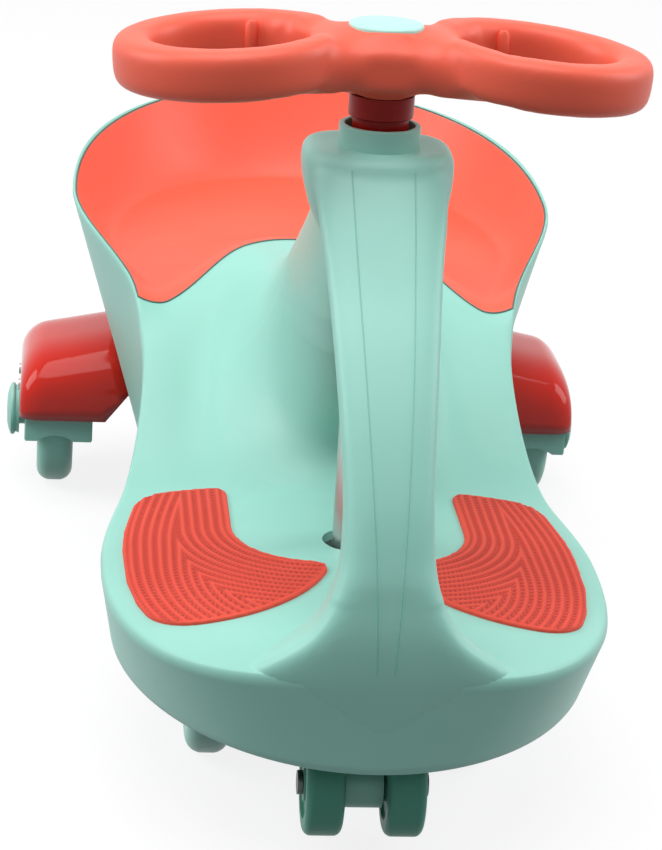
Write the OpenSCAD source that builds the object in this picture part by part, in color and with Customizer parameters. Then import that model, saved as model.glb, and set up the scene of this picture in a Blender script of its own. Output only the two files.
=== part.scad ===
// Wiggle car: a child's ride-on that is driven by swinging the steering wheel.
// Millimetres. +Z is up, the front faces -Y, and the ground is the plane z = 0.

/* [Body] */
// Length of the body from nose to tail
body_length = 716; // [690:1:750]
// Width of the foot deck at the front lobes
lobe_width = 260; // [250:1:270]
// Width of the body at the waist between deck and seat
waist_width = 213; // [204:1:222]
// Width of the body at the seat rim
hip_width = 296; // [288:1:302]
// Height of the foot deck above the ground
deck_height = 118; // [116:1:126]
// Height of the seat floor above the ground
seat_height = 178; // [172:1:186]
// Rise of the seat rim above the seat floor at the tail
rim_rise = 60; // [50:1:70]
// Height of the lower edge of the body above the ground
skirt_height = 64; // [63:1:70]
// Thickness of the moulded body wall
body_wall = 4; // [3:0.5:5]

/* [Pillar] */
// Height of the flat top of the steering pillar
pillar_height = 328; // [318:1:336]
// Width of the pillar at its head
pillar_width = 76; // [72:1:80]
// Height of the collar tube that stands on the pillar
collar_rise = 11; // [8:1:14]

/* [Steering] */
// Width of the steering wheel over both grips
steering_width = 266; // [256:1:278]
// Diameter of the round hand hole in each grip
grip_hole = 76; // [70:1:80]
// Height of the moulded grip section
grip_depth = 25; // [20:1:27]
// Diameter of the steel steering tube
shaft_diameter = 22; // [20:1:24]

/* [Wheels] */
// Diameter of the four road wheels
wheel_diameter = 92; // [88:1:94]
// Width of a road wheel
wheel_width = 23; // [20:1:25]
// Distance between the middles of the rear wheels
rear_track = 309; // [305:1:315]
// Distance between the middles of the front wheels
front_track = 144; // [136:1:148]
// Distance from the steering axis back to the rear axle
wheelbase = 404; // [390:1:415]
// Diameter of the two small guard wheels
guard_diameter = 52; // [48:1:52]
// Distance of the guard wheels ahead of the steering axis
guard_reach = 108; // [104:1:114]

/* [Seat and pads] */
// Thickness of the seat moulding
seat_wall = 3.5; // [3:0.5:4.5]
// Thickness of a foot pad
pad_thickness = 4; // [3:0.5:5]

/* [Hidden] */
// Separate parts, and the one to draw
$fn = 48;

// Fits and small sizes
overrun = 1;
running_fit = 0.05;
slip_fit = 0.1;
loose_fit = 0.3;
end_play = 0.4;
skin_gap = 0.6;
fender_gap = 1.2;

// Steering column
shaft_r = shaft_diameter / 2;
shaft_wall = 2.5;
bush_wall = 5;
bush_r = shaft_r + bush_wall;
bush_flange = 3;
collar_r = 20.3;
collar_bore_r = 17.5;
collar_depth = 6;
upper_bush_length = 26;
boss_r = 24;
boss_bottom = 90;
lower_bush_sink = 5;
rib_thickness = 3;
rib_reach = 92;
rib_height = 8;
rib_bottom = boss_bottom + rib_height;
rib_count = 8;
washer_thickness = 2.6;
washer_r = 21;
yoke_top = boss_bottom - bush_flange - end_play - washer_thickness;

// Steering wheel
hub_lift = 15;
hub_bottom = pillar_height + collar_rise + hub_lift;
hub_rise = 34;
hub_top = hub_bottom + hub_rise;
hub_r = 26;
hub_foot_r = 20;
grip_width = 20;
grip_round = 7;
grip_ring_r = grip_hole / 2 + grip_width / 2;
grip_x = steering_width / 2 - grip_hole / 2 - grip_width;
grip_droop = 5;
grip_lift = 4;
grip_z = hub_bottom + grip_lift + grip_depth / 2;
web_step = 1.5;
web_depth = grip_depth - 2 * web_step;
web_hole_share = 0.6;
web_length = 2 * grip_x - grip_hole * web_hole_share;
web_width = 86;
web_waist = 52;
web_scoop_r = 34;
neck_r = 14;
neck_step_r = 16.2;
neck_step_rise = 11;
bolt_head_r = 7;
bolt_head_rise = 5;
bolt_head_room = 2;
bolt_r = 4;
plug_length = 36;
cap_r = 18.5;
cap_rise = 4.5;
cap_round = 1.5;
cap_sink = 2.5;
cap_room = 7;
hub_floor = 9;

// Road wheels
wheel_r = wheel_diameter / 2;
front_x = front_track / 2;
rear_x = rear_track / 2;
tread_round = 8;
tyre_inner_r = 29;
tyre_lip = 2;
core_web = 9;
bearing_r = 11;
bearing_width = 7;
bearing_lip = 2;
axle_r = 4;
spacer_r = 7;
wheel_gap = 4;
nut_r = 7.5;
nut_width = 7;
guard_r = guard_diameter / 2;
guard_lift = 6;
guard_z = guard_r + guard_lift;
guard_width = 19;
guard_x = 20;
guard_round = 4;
guard_axle_r = 3;
guard_clip_r = 6;
guard_clip_width = 2.5;
guard_boss_r = 12;

// Front yoke
yoke_hub_r = 20;
yoke_bottom = 30;
arm_bottom = 32;
arm_top = 58;
arm_half = 15;
arm_end_x = front_track / 2 - wheel_width / 2 - wheel_gap;
axle_root_x = 22;
tongue_gap = 1.2;
tongue_half = guard_x - guard_width / 2 - tongue_gap;
pin_r = 3;
pin_z = 71;

// Rear wheel carriers
plate_thickness = 4;
inner_plate = 8;
fork_in_x = rear_track / 2 - wheel_width / 2 - wheel_gap;
fork_out_x = rear_track / 2 + wheel_width / 2 + wheel_gap;
fork_boss_r = 20;
fork_plate_half = 24;
fork_plate_top = 76;
fork_end_gap = 1.6;
fork_end_wall = 4.5;
fork_step = 0.6;
fork_end_bottom = 42;
fender_bottom = 58;
fork_end_top = fender_bottom - skin_gap;
fork_notch_r = 19;
fork_notch_drop = 15;
fork_end = wheel_r + fork_end_gap + fork_end_wall;
flange_width = 5;
flange_bottom = 66;
flange_half = 30;
flange_top = 98;
mount_x = fork_in_x - inner_plate - flange_width;
fork_bolt_y = 20;
fork_bolt_z = 88;
fork_bolt_r = 3;
fork_bolt_head_r = 5;
fork_bolt_head = 3;
fork_bolt_length = 24;

// Rear fenders
fender_wall = 3.5;
fender_out_x = fork_out_x + plate_thickness + fender_wall;
fender_half = 58;
fender_root_top = 106;
fender_edge_top = 95;
fender_chamfer_x = 124;
fender_chamfer_slope = 1.27;
fender_round = 16;
fender_power = 3.2;
fender_steps = 18;
fender_root_x = 84;
fender_row_shares = [0, 0.3, 0.55, 0.75, 0.84, 0.9, 0.95, 0.98, 1];
fender_screw_y = 16;
fender_screw_z = 68;
fender_screw_r = 1.6;
fender_screw_head_r = 3.5;
fender_screw_head = 1.6;

// Axle caps
hub_cap_r = 17;
hub_cap_rise = 8;
hub_cap_stem_r = 10;
hub_cap_bore_r = 7.6;

// Places along the body, measured from the steering axis; they stretch with the body
design_length = 716;
stretch = body_length / design_length;
nose_reach = 168 * stretch;
nose_y = -nose_reach;
tail_y = body_length - nose_reach;
axis_y = nose_reach - body_length / 2;
lobe_y = 8 * stretch;
skirt_lobe_y = 4 * stretch;
waist_y = 178 * stretch;
hip_y = 348 * stretch;
spine_front_y = -96 * stretch;
spine_back_y = 455 * stretch;

// Shape of the upper side
seat_corner_y = 213 * stretch;
seat_wave = 92 * stretch;
rise_start_y = 50 * stretch;
rise_end_y = 232 * stretch;
rise_power = 2;
rim_start_y = 200 * stretch;
rim_power = 0.6;
rim_flare = 1.5;
bowl_share = 0.82;
wing_x = 12;
wing_drop = 14;
wing_end_y = 88 * stretch;
wing_fade = 80 * stretch;
hump_front_y = 70 * stretch;
hump_top_y = 215 * stretch;
hump_back_y = 370 * stretch;
hump_rise = 50;
hump_half = 112;
ridge_front_y = 78 * stretch;
ridge_top_y = 160 * stretch;
ridge_back_y = 285 * stretch;
ridge_rise = 66;
ridge_half = 92;
ridge_power = 1.6;
edge_round = 5;
front_power = 2.5;
tail_power = 2.2;
skirt_front_power = 2;
skirt_inset = [6, 12, 44];
skirt_nose_inset = 3;
skirt_tail_inset = 62 * stretch;
belt_half = [lobe_width / 2, waist_width / 2, hip_width / 2];
skirt_half = belt_half - skirt_inset;
top_wall = body_wall + seat_wall;
front_steps = 9;
side_steps = 14;
tail_steps = 10;

// Seat and foot pads
pocket_depth = 2;
wing_slope = atan(wing_drop / (lobe_width / 2 - wing_x));
pad_border = 10.3;
pad_corner = 24;
pad_round = 11;
pad_rear_y = 86 * stretch;
pad_scoop_r = 62;
pad_scoop_y = 27 * stretch;
pad_front_x = 90;
pad_front_y = -19 * stretch;
pad_front_r = 77;
seat_side_steps = 9;
seat_shares = [0.035, 0.07, 0.12, 0.18, 0.25, 0.33, 0.43, 0.55, 0.7, 0.86, 0.96];
seat_back_y = 455 * stretch;
screw_x = 59;
screw_front_y = 350 * stretch;
screw_back_y = 450 * stretch;
screw_boss_r = 6;
screw_r = 2;
screw_head_r = 8;
screw_head = 3;

// Shares of the way from the belt of the body in to its spine
top_shares = [0.035, 0.07, 0.11, 0.16, 0.22, 0.29, 0.37, 0.46, 0.56, 0.67, 0.78, 0.87, 0.95];
inner_shares = [0.05, 0.11, 0.2, 0.32, 0.48, 0.65, 0.81, 0.95];
rim_share = 0.012;
// Shares of the way from the belt down to the lower edge
wall_shares = [0.5, 1];

// Pillar rows: [height, front, back, half width] as shares
fin_foot_y = 96 * stretch;
fin_back_y = seat_corner_y + seat_wave;
fin_shares = [
    [-0.03, 1.16, 0.9, 0.95],
    [0.07, 0.98, 0.92, 0.86],
    [0.2, 0.76, 0.94, 0.84],
    [0.34, 0.57, 0.92, 0.84],
    [0.48, 0.43, 0.76, 0.78],
    [0.6, 0.34, 0.6, 0.68],
    [0.72, 0.26, 0.45, 0.62],
    [0.84, 0.19, 0.3, 0.6],
    [0.95, 0.12, 0.15, 0.62]
];
// Band rows: [height, front, depth, half width] as shares
band_shares = [
    [-0.16, 0.95, 0.22, 1.2],
    [-0.06, 0.985, 0.25, 1.5],
    [0.01, 0.996, 0.3, 1.26],
    [0.08, 0.996, 0.31, 0.92],
    [0.15, 0.988, 0.3, 0.73],
    [0.22, 0.97, 0.29, 0.66],
    [0.35, 0.88, 0.27, 0.63],
    [0.5, 0.75, 0.26, 0.68],
    [0.64, 0.6, 0.26, 0.75],
    [0.77, 0.43, 0.25, 0.83],
    [0.88, 0.29, 0.25, 0.93],
    [0.96, 0.18, 0.24, 0.98]
];
// Head rows: [height, front, back, half width] as shares
head_shares = [
    [0.76, -0.22, 0.08, 0.6],
    [0.84, -0.22, 0.16, 0.84],
    [0.88, -0.235, 0.2, 0.92],
    [0.92, -0.215, 0.22, 0.97],
    [0.96, -0.19, 0.22, 0.99],
    [0.985, -0.165, 0.21, 0.95],
    [1, -0.135, 0.19, 0.86]
];
fin_power = 2.2;
band_power = 3;
band_taper_share = 0.3;
head_power = 2.3;
oval_steps = 24;
row_steps = 2;

function clamp01(t) = min(max(t, 0), 1);
function smooth(t) = let (c = clamp01(t)) c * c * (3 - 2 * c);
function mix(a, b, t) = a + (b - a) * t;

// A smooth curve through rows of numbers
function spline(a, b, c, d, t) =
    0.5 * (2 * b + (c - a) * t + (2 * a - 5 * b + 4 * c - d) * t * t
        + (3 * b - a - 3 * c + d) * t * t * t);
function refine(rows, steps) = [
    for (i = [0 : len(rows) - 2], k = [0 : steps - 1])
        spline(rows[max(i - 1, 0)], rows[i], rows[i + 1], rows[min(i + 2, len(rows) - 1)], k / steps),
    rows[len(rows) - 1]
];

// Half width of the body beside the deck and the waist
function side_x(y, half) =
    y < waist_y
        ? mix(half[0], half[1], smooth((y - lobe_y) / (waist_y - lobe_y)))
        : mix(half[1], half[2], smooth((y - waist_y) / (hip_y - waist_y)));

// One side of the body's plan, from nose to tail
function half_plan(nose, tail, half, power, lobe) = concat(
    [for (i = [0 : front_steps]) let (a = 90 * i / front_steps)
        [half[0] * pow(sin(a), 2 / power), lobe - (lobe - nose) * pow(cos(a), 2 / power)]],
    [for (i = [1 : side_steps - 1]) let (y = mix(lobe, hip_y, i / side_steps)) [side_x(y, half), y]],
    [for (i = [0 : tail_steps]) let (a = 90 * i / tail_steps)
        [half[2] * pow(cos(a), 2 / tail_power), hip_y + (tail - hip_y) * pow(sin(a), 2 / tail_power)]]);
function mirrored(half) = concat(half, [for (i = [len(half) - 2 : -1 : 1]) [-half[i][0], half[i][1]]]);
function belt_loop(inset) = mirrored(half_plan(nose_y + inset, tail_y - inset,
    belt_half - [inset, inset, inset], front_power, lobe_y));
function skirt_loop(inset) = mirrored(half_plan(nose_y + skirt_nose_inset + inset,
    tail_y - skirt_tail_inset - inset, skirt_half - [inset, inset, inset], skirt_front_power, skirt_lobe_y));

// Height of the upper side of the body
function spine_y(y) = mix(spine_front_y, spine_back_y, (y - nose_y) / (tail_y - nose_y));
function inward(p, share) = [p[0] * (1 - share), mix(p[1], spine_y(p[1]), share)];
function bell(t) = pow(cos(90 * clamp01(abs(t))), 2);
function wave(x) = seat_wave * bell(x / belt_half[1]);
function rise_share(x, y) = smooth((y - wave(x) - rise_start_y) / (rise_end_y - rise_start_y));
function floor_z(x, y) = mix(deck_height, seat_height, pow(rise_share(x, y), rise_power));
function wing(x, y) = wing_drop * clamp01((abs(x) - wing_x) / (belt_half[0] - wing_x))
    * (1 - smooth((y - wing_end_y) / wing_fade));
function hump(x, y) = hump_rise * bell(x / hump_half)
    * (y < hump_top_y
        ? smooth((y - hump_front_y) / (hump_top_y - hump_front_y))
        : 1 - smooth((y - hump_top_y) / (hump_back_y - hump_top_y)));
function ridge(x, y) = ridge_rise * pow(bell(x / ridge_half), ridge_power)
    * (y < ridge_top_y
        ? smooth((y - ridge_front_y) / (ridge_top_y - ridge_front_y))
        : 1 - smooth((y - ridge_top_y) / (ridge_back_y - ridge_top_y)));
function reach_share(x, y) =
    y < hip_y
        ? abs(x) / side_x(y, belt_half)
        : pow(pow(abs(x) / belt_half[2], tail_power)
            + pow((y - hip_y) / (tail_y - hip_y), tail_power), 1 / tail_power);
function bowl(x, y) = pow(clamp01((reach_share(x, y) - bowl_share) / (1 - bowl_share)), rim_flare);
function rim_z(y) = rim_rise * pow(clamp01((y - rim_start_y) / (tail_y - rim_start_y)), rim_power);
function top_z(x, y) = floor_z(x, y) + rim_z(y) * bowl(x, y) + hump(x, y) + ridge(x, y) - wing(x, y);
function on_top(p, drop) = [p[0], p[1], top_z(p[0], p[1]) - drop];
function wall_ring(upper, lower, share, drop) = [
    for (i = [0 : len(upper) - 1])
        let (p = mix(upper[i], lower[i], share), z = top_z(upper[i][0], upper[i][1]) - drop)
            [p[0], p[1], mix(z, skirt_height, share)]
];

// A closed skin over rings of points; a zipped end closes a ring that is its own mirror image
module skin(rings, zipped = false) {
    n = len(rings[0]);
    last = len(rings) - 1;
    half = n / 2;
    points = [for (ring = rings, p = ring) p];
    sides = [for (k = [0 : last - 1], i = [0 : n - 1])
        let (a = k * n + i, b = k * n + (i + 1) % n, c = a + n, d = b + n)
            each [[a, c, b], [b, c, d]]];
    zip = [for (i = [0 : half - 1])
        each (i == 0 ? [[0, 1, n - 1]]
            : i == half - 1 ? [[i, i + 1, n - i]]
            : [[i, i + 1, n - i - 1], [i, n - i - 1, n - i]])];
    flat = [[for (i = [0 : n - 1]) i]];
    first = zipped ? zip : flat;
    final = [for (f = first) [for (i = [len(f) - 1 : -1 : 0]) f[i] + last * n]];
    polyhedron(points, concat(sides, first, final), convexity = 10);
}

// The bare tub of the body: deck, saddle, seat bowl and side walls
module tub() {
    belt = belt_loop(0);
    skirt = skirt_loop(0);
    inner_belt = belt_loop(body_wall);
    inner_skirt = skirt_loop(body_wall);
    last = len(inner_shares) - 1;
    inner = [for (i = [last : -1 : 0]) [for (p = inner_belt) on_top(inward(p, inner_shares[i]), top_wall)]];
    inner_walls = [for (share = wall_shares) wall_ring(inner_belt, inner_skirt, share, top_wall)];
    walls = [for (i = [len(wall_shares) - 1 : -1 : 0]) wall_ring(belt, skirt, wall_shares[i], edge_round)];
    edge = wall_ring(belt, skirt, 0, edge_round);
    rim = [for (p = belt) on_top(inward(p, rim_share), 0)];
    outer = [for (share = top_shares) [for (p = belt) on_top(inward(p, share), 0)]];
    skin(concat(inner, inner_walls, walls, [edge, rim], outer), true);
}

// A rounded outline, narrower at the back by a share of its width
function oval(front, back, half_x, z, power, taper_share = 0) = [
    for (i = [0 : oval_steps - 1])
        let (a = 360 * i / oval_steps, c = cos(a), s = sin(a),
            depth = (1 + sign(s) * pow(abs(s), 2 / power)) / 2)
            [half_x * sign(c) * pow(abs(c), 2 / power) * (1 - taper_share * depth),
                mix(front, back, depth), z]
];
function pillar_z(share) = mix(deck_height, pillar_height, share);

// Rear leg of the pillar
module fin() {
    skin([for (row = refine(fin_shares, row_steps))
        oval(row[1] * fin_foot_y, row[2] * fin_back_y, row[3] * pillar_width / 2, pillar_z(row[0]),
            fin_power)]);
}

// Front leg of the pillar, which runs on into the nose
module band() {
    skin([for (row = refine(band_shares, row_steps))
        oval(row[1] * nose_y, row[1] * nose_y + row[2] * nose_reach, row[3] * pillar_width / 2,
            pillar_z(row[0]), band_power, band_taper_share)]);
}

module head() {
    skin([for (row = head_shares)
        oval(row[1] * nose_reach, row[2] * nose_reach, row[3] * pillar_width / 2, pillar_z(row[0]),
            head_power)]);
}

// Seat moulding between two heights over the body's upper side
function seat_half(grow) = concat(
    [for (i = [0 : seat_side_steps - 1])
        let (y = mix(seat_corner_y - grow, hip_y, i / seat_side_steps)) [side_x(y, belt_half), y]],
    [for (i = [0 : tail_steps]) let (a = 90 * i / tail_steps)
        [belt_half[2] * pow(cos(a), 2 / tail_power),
            hip_y + (tail_y - hip_y) * pow(sin(a), 2 / tail_power)]]);
function seat_row(half) = concat(half, [for (i = [len(half) - 2 : -1 : 0]) [-half[i][0], half[i][1]]]);
function seat_point(p, share, grow) =
    let (t = (p[1] - seat_corner_y + grow) / (tail_y - seat_corner_y + grow),
        x = p[0] * (1 - share),
        middle = mix(seat_corner_y + seat_wave - grow, seat_back_y, t),
        bend = (wave(x) - seat_wave * share) * pow(1 - t, 4))
        [x, mix(p[1], middle, share) + bend];
function on_floor(x, y) = max(1 - rise_share(x, y), bowl(x, y), hump(x, y) / hump_rise) > 0 ? 0 : 1;

module seat_tray(lower, upper, floor_lower, grow) {
    rows = seat_row(seat_half(grow));
    shares = [for (share = seat_shares) share == seat_shares[0] ? share - grow / belt_half[2] : share];
    m = len(rows);
    k = len(shares);
    plan = [for (share = shares, p = rows) seat_point(p, share, grow)];
    bottom = [for (q = plan) [q[0], q[1],
        top_z(q[0], q[1]) + (on_floor(q[0], q[1]) == 1 ? floor_lower : lower)]];
    top = [for (q = plan) [q[0], q[1], top_z(q[0], q[1]) + upper]];
    cells = [for (j = [0 : k - 2], i = [0 : m - 2])
        let (a = j * m + i, b = a + 1, c = a + m, d = c + 1)
            each [[a, b, c], [b, d, c]]];
    zip = [for (i = [0 : (m - 1) / 2 - 1])
        let (e = (k - 1) * m, a = e + i, b = a + 1, c = e + m - 1 - i, d = c - 1)
            each (b == d ? [[a, b, c]] : [[a, b, d], [a, d, c]])];
    face = concat(cells, zip);
    border = concat(
        [for (i = [0 : m - 2]) i],
        [for (j = [0 : k - 1]) j * m + m - 1],
        [for (j = [k - 1 : -1 : 1]) j * m]);
    n = m * k;
    sides = [for (i = [0 : len(border) - 1])
        let (a = border[i], b = border[(i + 1) % len(border)])
            each [[a, a + n, b], [b, a + n, b + n]]];
    polyhedron(concat(bottom, top),
        concat(face, [for (f = face) [f[2] + n, f[1] + n, f[0] + n]], sides), convexity = 10);
}

module seat_screw_places() {
    for (x = [-screw_x, screw_x], y = [screw_front_y, screw_back_y]) {
        translate([x, y, seat_height - seat_wall]) children();
    }
}

// Rounds the outer corners of a flat outline
module rounded(corner) {
    offset(r = corner) offset(delta = -corner) children();
}

// Outline of the right foot pad, grown by a margin
module pad_outline(margin) {
    offset(delta = margin) rounded(pad_round) difference() {
        rounded(pad_corner) intersection() {
            offset(delta = -pad_border) polygon(belt_loop(0));
            hull() for (y = [pad_front_y, pad_rear_y]) {
                translate([pad_front_x, y]) circle(r = pad_front_r);
            }
            translate([0, pad_rear_y - 2 * lobe_width]) square(2 * lobe_width);
        }
        hull() for (y = [pad_scoop_y, pad_rear_y]) {
            translate([0, y]) circle(r = pad_scoop_r);
        }
    }
}

module on_wing() {
    translate([wing_x, 0, deck_height]) rotate([0, wing_slope, 0])
        translate([-wing_x, 0, -pocket_depth]) children();
}

module both_sides() {
    children();
    mirror([1, 0, 0]) children();
}

module along_x(x0, x1, r, y = 0, z = 0) {
    translate([x0, y, z]) rotate([0, 90, 0]) cylinder(r = r, h = x1 - x0);
}

module deck_ribs() {
    for (i = [0 : rib_count - 1]) {
        rotate(360 * (i + 0.5) / rib_count) hull() {
            translate([boss_r - rib_thickness, 0, rib_bottom])
                cylinder(d = rib_thickness, h = deck_height - top_wall - rib_bottom + overrun, $fn = 12);
            translate([rib_reach, 0, rib_bottom]) cylinder(d = rib_thickness, h = rib_height / 2, $fn = 12);
        }
    }
}

module fork_bolt_places() {
    both_sides() for (side = [-1, 1]) {
        translate([mount_x + flange_width, wheelbase + side * fork_bolt_y, fork_bolt_z]) children();
    }
}

module rear_pads() {
    both_sides() translate([mount_x / 2, wheelbase - flange_half, flange_bottom])
        cube([mount_x / 2, 2 * flange_half, flange_top - flange_bottom]);
}

module body_shell() {
    color("#9bdccf") difference() {
        union() {
            tub();
            fin();
            band();
            head();
            translate([0, 0, pillar_height - overrun]) cylinder(r = collar_r, h = collar_rise + overrun);
            translate([0, 0, boss_bottom]) cylinder(r = boss_r, h = deck_height - boss_bottom - overrun);
            deck_ribs();
            rear_pads();
        }
        seat_tray(-seat_wall, rim_rise, -seat_wall, skin_gap);
        fork_bolt_places() along_x(-fork_bolt_length - overrun, overrun, fork_bolt_r + loose_fit);
        seat_screw_places() translate([0, 0, -top_wall])
            cylinder(r = screw_boss_r + skin_gap, h = 2 * top_wall);
        both_sides() on_wing() linear_extrude(2 * pad_thickness) pad_outline(skin_gap);
        translate([0, 0, boss_bottom - overrun])
            cylinder(r = bush_r + slip_fit, h = pillar_height - collar_depth - boss_bottom + overrun);
        translate([0, 0, pillar_height - collar_depth])
            cylinder(r = collar_bore_r, h = collar_depth + collar_rise + overrun);
    }
}

module seat_insert() {
    color("#f9705c") difference() {
        union() {
            seat_tray(-seat_wall + skin_gap, 0, -seat_wall, 0);
            seat_screw_places() translate([0, 0, -body_wall])
                cylinder(r = screw_boss_r, h = body_wall + seat_wall / 2);
        }
        seat_screw_places() translate([0, 0, -body_wall - overrun])
            cylinder(r = screw_r, h = body_wall + overrun + seat_wall / 2);
    }
}

module foot_pad_right() {
    color("#e45a49") on_wing() linear_extrude(pad_thickness) pad_outline(0);
}

module foot_pad_left() {
    mirror([1, 0, 0]) foot_pad_right();
}

// Bushes that carry the steering tube
module upper_bush() {
    flange_z = pillar_height - collar_depth;
    color("#e8e8e2") difference() {
        union() {
            translate([0, 0, flange_z - upper_bush_length]) cylinder(r = bush_r, h = upper_bush_length);
            translate([0, 0, flange_z]) cylinder(r = collar_bore_r - loose_fit, h = bush_flange);
        }
        translate([0, 0, flange_z - upper_bush_length - overrun])
            cylinder(r = shaft_r + running_fit, h = upper_bush_length + bush_flange + 2 * overrun);
    }
}

module lower_bush() {
    top = deck_height - lower_bush_sink;
    color("#e8e8e2") difference() {
        union() {
            translate([0, 0, boss_bottom]) cylinder(r = bush_r, h = top - boss_bottom);
            translate([0, 0, boss_bottom - bush_flange]) cylinder(r = washer_r, h = bush_flange);
        }
        translate([0, 0, boss_bottom - bush_flange - overrun])
            cylinder(r = shaft_r + running_fit, h = top - boss_bottom + bush_flange + 2 * overrun);
    }
}

// Steering wheel and what is fixed to it
module grip_section() {
    square([grip_width - 2 * grip_round, grip_depth], center = true);
    square([grip_width, grip_depth - 2 * grip_round], center = true);
    for (a = [-1, 1], b = [-1, 1]) {
        translate([a * (grip_width / 2 - grip_round), b * (grip_depth / 2 - grip_round)])
            circle(r = grip_round);
    }
}

module steering_wheel() {
    seat_z = hub_top - cap_sink - cap_room;
    color("#f4675a") difference() {
        union() {
            both_sides() translate([grip_x, 0, grip_z]) rotate([0, grip_droop, 0])
                rotate_extrude() translate([grip_ring_r, 0]) grip_section();
            translate([0, 0, grip_z - web_depth / 2]) linear_extrude(web_depth) difference() {
                square([web_length, web_width], center = true);
                for (side = [-1, 1]) {
                    translate([0, side * (web_waist / 2 + web_scoop_r)]) circle(r = web_scoop_r);
                    translate([side * grip_x, 0]) circle(r = grip_ring_r);
                }
            }
            translate([0, 0, hub_bottom]) cylinder(r1 = hub_foot_r, r2 = hub_r, h = hub_rise);
        }
        translate([0, 0, hub_bottom - overrun])
            cylinder(r = shaft_r, h = seat_z - hub_floor - hub_bottom + overrun);
        translate([0, 0, hub_bottom]) cylinder(r = bolt_r, h = hub_rise);
        translate([0, 0, seat_z]) cylinder(r = bolt_head_r + bolt_head_room, h = hub_rise);
        translate([0, 0, hub_top - cap_sink]) cylinder(r = cap_r, h = cap_sink + overrun);
    }
}

module steering_cap() {
    color("#c4efe6") translate([0, 0, hub_top - cap_sink]) rotate_extrude() {
        square([cap_r, cap_rise - cap_round]);
        square([cap_r - cap_round, cap_rise]);
        translate([cap_r - cap_round, cap_rise - cap_round]) circle(r = cap_round);
    }
}

module shaft_bolt() {
    seat_z = hub_top - cap_sink - cap_room;
    color("#b9bec2") {
        translate([0, 0, seat_z]) cylinder(r = bolt_head_r, h = bolt_head_rise);
        translate([0, 0, seat_z - hub_floor - plug_length]) cylinder(r = bolt_r, h = hub_floor + plug_length);
    }
}

module steering_neck() {
    bottom = pillar_height - collar_depth + bush_flange + end_play;
    color("#b22a1d") difference() {
        union() {
            translate([0, 0, bottom]) cylinder(r = neck_r, h = hub_bottom - bottom);
            translate([0, 0, hub_bottom - neck_step_rise]) cylinder(r = neck_step_r, h = neck_step_rise);
        }
        translate([0, 0, bottom - overrun]) cylinder(r = shaft_r, h = hub_bottom - bottom + 2 * overrun);
    }
}

module steering_shaft() {
    top = hub_top - cap_sink - cap_room - hub_floor;
    color("#aab2b0") difference() {
        translate([0, 0, yoke_bottom]) cylinder(r = shaft_r, h = top - yoke_bottom);
        translate([0, 0, yoke_bottom - overrun])
            cylinder(r = shaft_r - shaft_wall, h = top - plug_length - yoke_bottom + overrun);
        translate([0, 0, top - plug_length - overrun]) cylinder(r = bolt_r, h = plug_length + 2 * overrun);
        yoke_pin_shape();
    }
}

module thrust_washer() {
    color("#b9bec2") translate([0, 0, yoke_top]) difference() {
        cylinder(r = washer_r, h = washer_thickness);
        translate([0, 0, -overrun]) cylinder(r = shaft_r, h = washer_thickness + 2 * overrun);
    }
}

// Front yoke, which turns with the steering tube
module yoke_pin_shape() {
    reach = yoke_hub_r + bush_flange;
    translate([0, reach, pin_z]) rotate([90, 0, 0]) cylinder(r = pin_r, h = 2 * reach);
}

module yoke_pin() {
    color("#b9bec2") yoke_pin_shape();
}

module front_yoke() {
    color("#7fbfae") difference() {
        union() {
            translate([0, 0, yoke_bottom]) cylinder(r = yoke_hub_r, h = yoke_top - yoke_bottom);
            translate([-arm_end_x, -arm_half, arm_bottom])
                cube([2 * arm_end_x, 2 * arm_half, arm_top - arm_bottom]);
            hull() {
                along_x(-tongue_half, tongue_half, guard_boss_r, -guard_reach, guard_z);
                translate([-tongue_half, -arm_half, arm_bottom])
                    cube([2 * tongue_half, arm_half, arm_top - arm_bottom]);
            }
        }
        translate([0, 0, yoke_bottom - overrun])
            cylinder(r = shaft_r, h = yoke_top - yoke_bottom + 2 * overrun);
        both_sides() along_x(axle_root_x, arm_end_x + overrun, axle_r, 0, wheel_r);
        along_x(-tongue_half - overrun, tongue_half + overrun, guard_axle_r, -guard_reach, guard_z);
        yoke_pin_shape();
    }
}

module front_axle_right() {
    head_x = front_track / 2 + wheel_width / 2 + end_play;
    color("#b9bec2") {
        along_x(axle_root_x, head_x, axle_r, 0, wheel_r);
        along_x(head_x, head_x + bolt_head_rise, bolt_head_r, 0, wheel_r);
    }
}

module front_axle_left() {
    mirror([1, 0, 0]) front_axle_right();
}

module spacer(x0, x1, y) {
    difference() {
        along_x(x0, x1, spacer_r, y, wheel_r);
        along_x(x0 - overrun, x1 + overrun, axle_r, y, wheel_r);
    }
}

module front_spacers() {
    color("#d8dcdc") both_sides() spacer(arm_end_x, arm_end_x + wheel_gap - end_play, 0);
}

module guard_axle() {
    reach = guard_x + guard_width / 2 + end_play + guard_clip_width;
    color("#b9bec2") along_x(-reach, reach, guard_axle_r, -guard_reach, guard_z);
}

module guard_clips() {
    x0 = guard_x + guard_width / 2 + end_play;
    color("#b9bec2") both_sides() difference() {
        along_x(x0, x0 + guard_clip_width, guard_clip_r, -guard_reach, guard_z);
        along_x(x0 - overrun, x0 + guard_clip_width + overrun, guard_axle_r, -guard_reach, guard_z);
    }
}

// Wheels, drawn about their own axis and set on the axles
module on_axle(x, y, z) {
    translate([x, y, z]) rotate([0, 90, 0]) children();
}

module round_band(inner_r, outer_r, width, round_r) {
    translate([inner_r, -width / 2]) square([outer_r - round_r - inner_r, width]);
    translate([inner_r, round_r - width / 2]) square([outer_r - inner_r, width - 2 * round_r]);
    for (side = [-1, 1]) {
        translate([outer_r - round_r, side * (width / 2 - round_r)]) circle(r = round_r);
    }
}

module tyre() {
    color("#7fc4b3") rotate_extrude() round_band(tyre_inner_r, wheel_r, wheel_width, tread_round);
}

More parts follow.
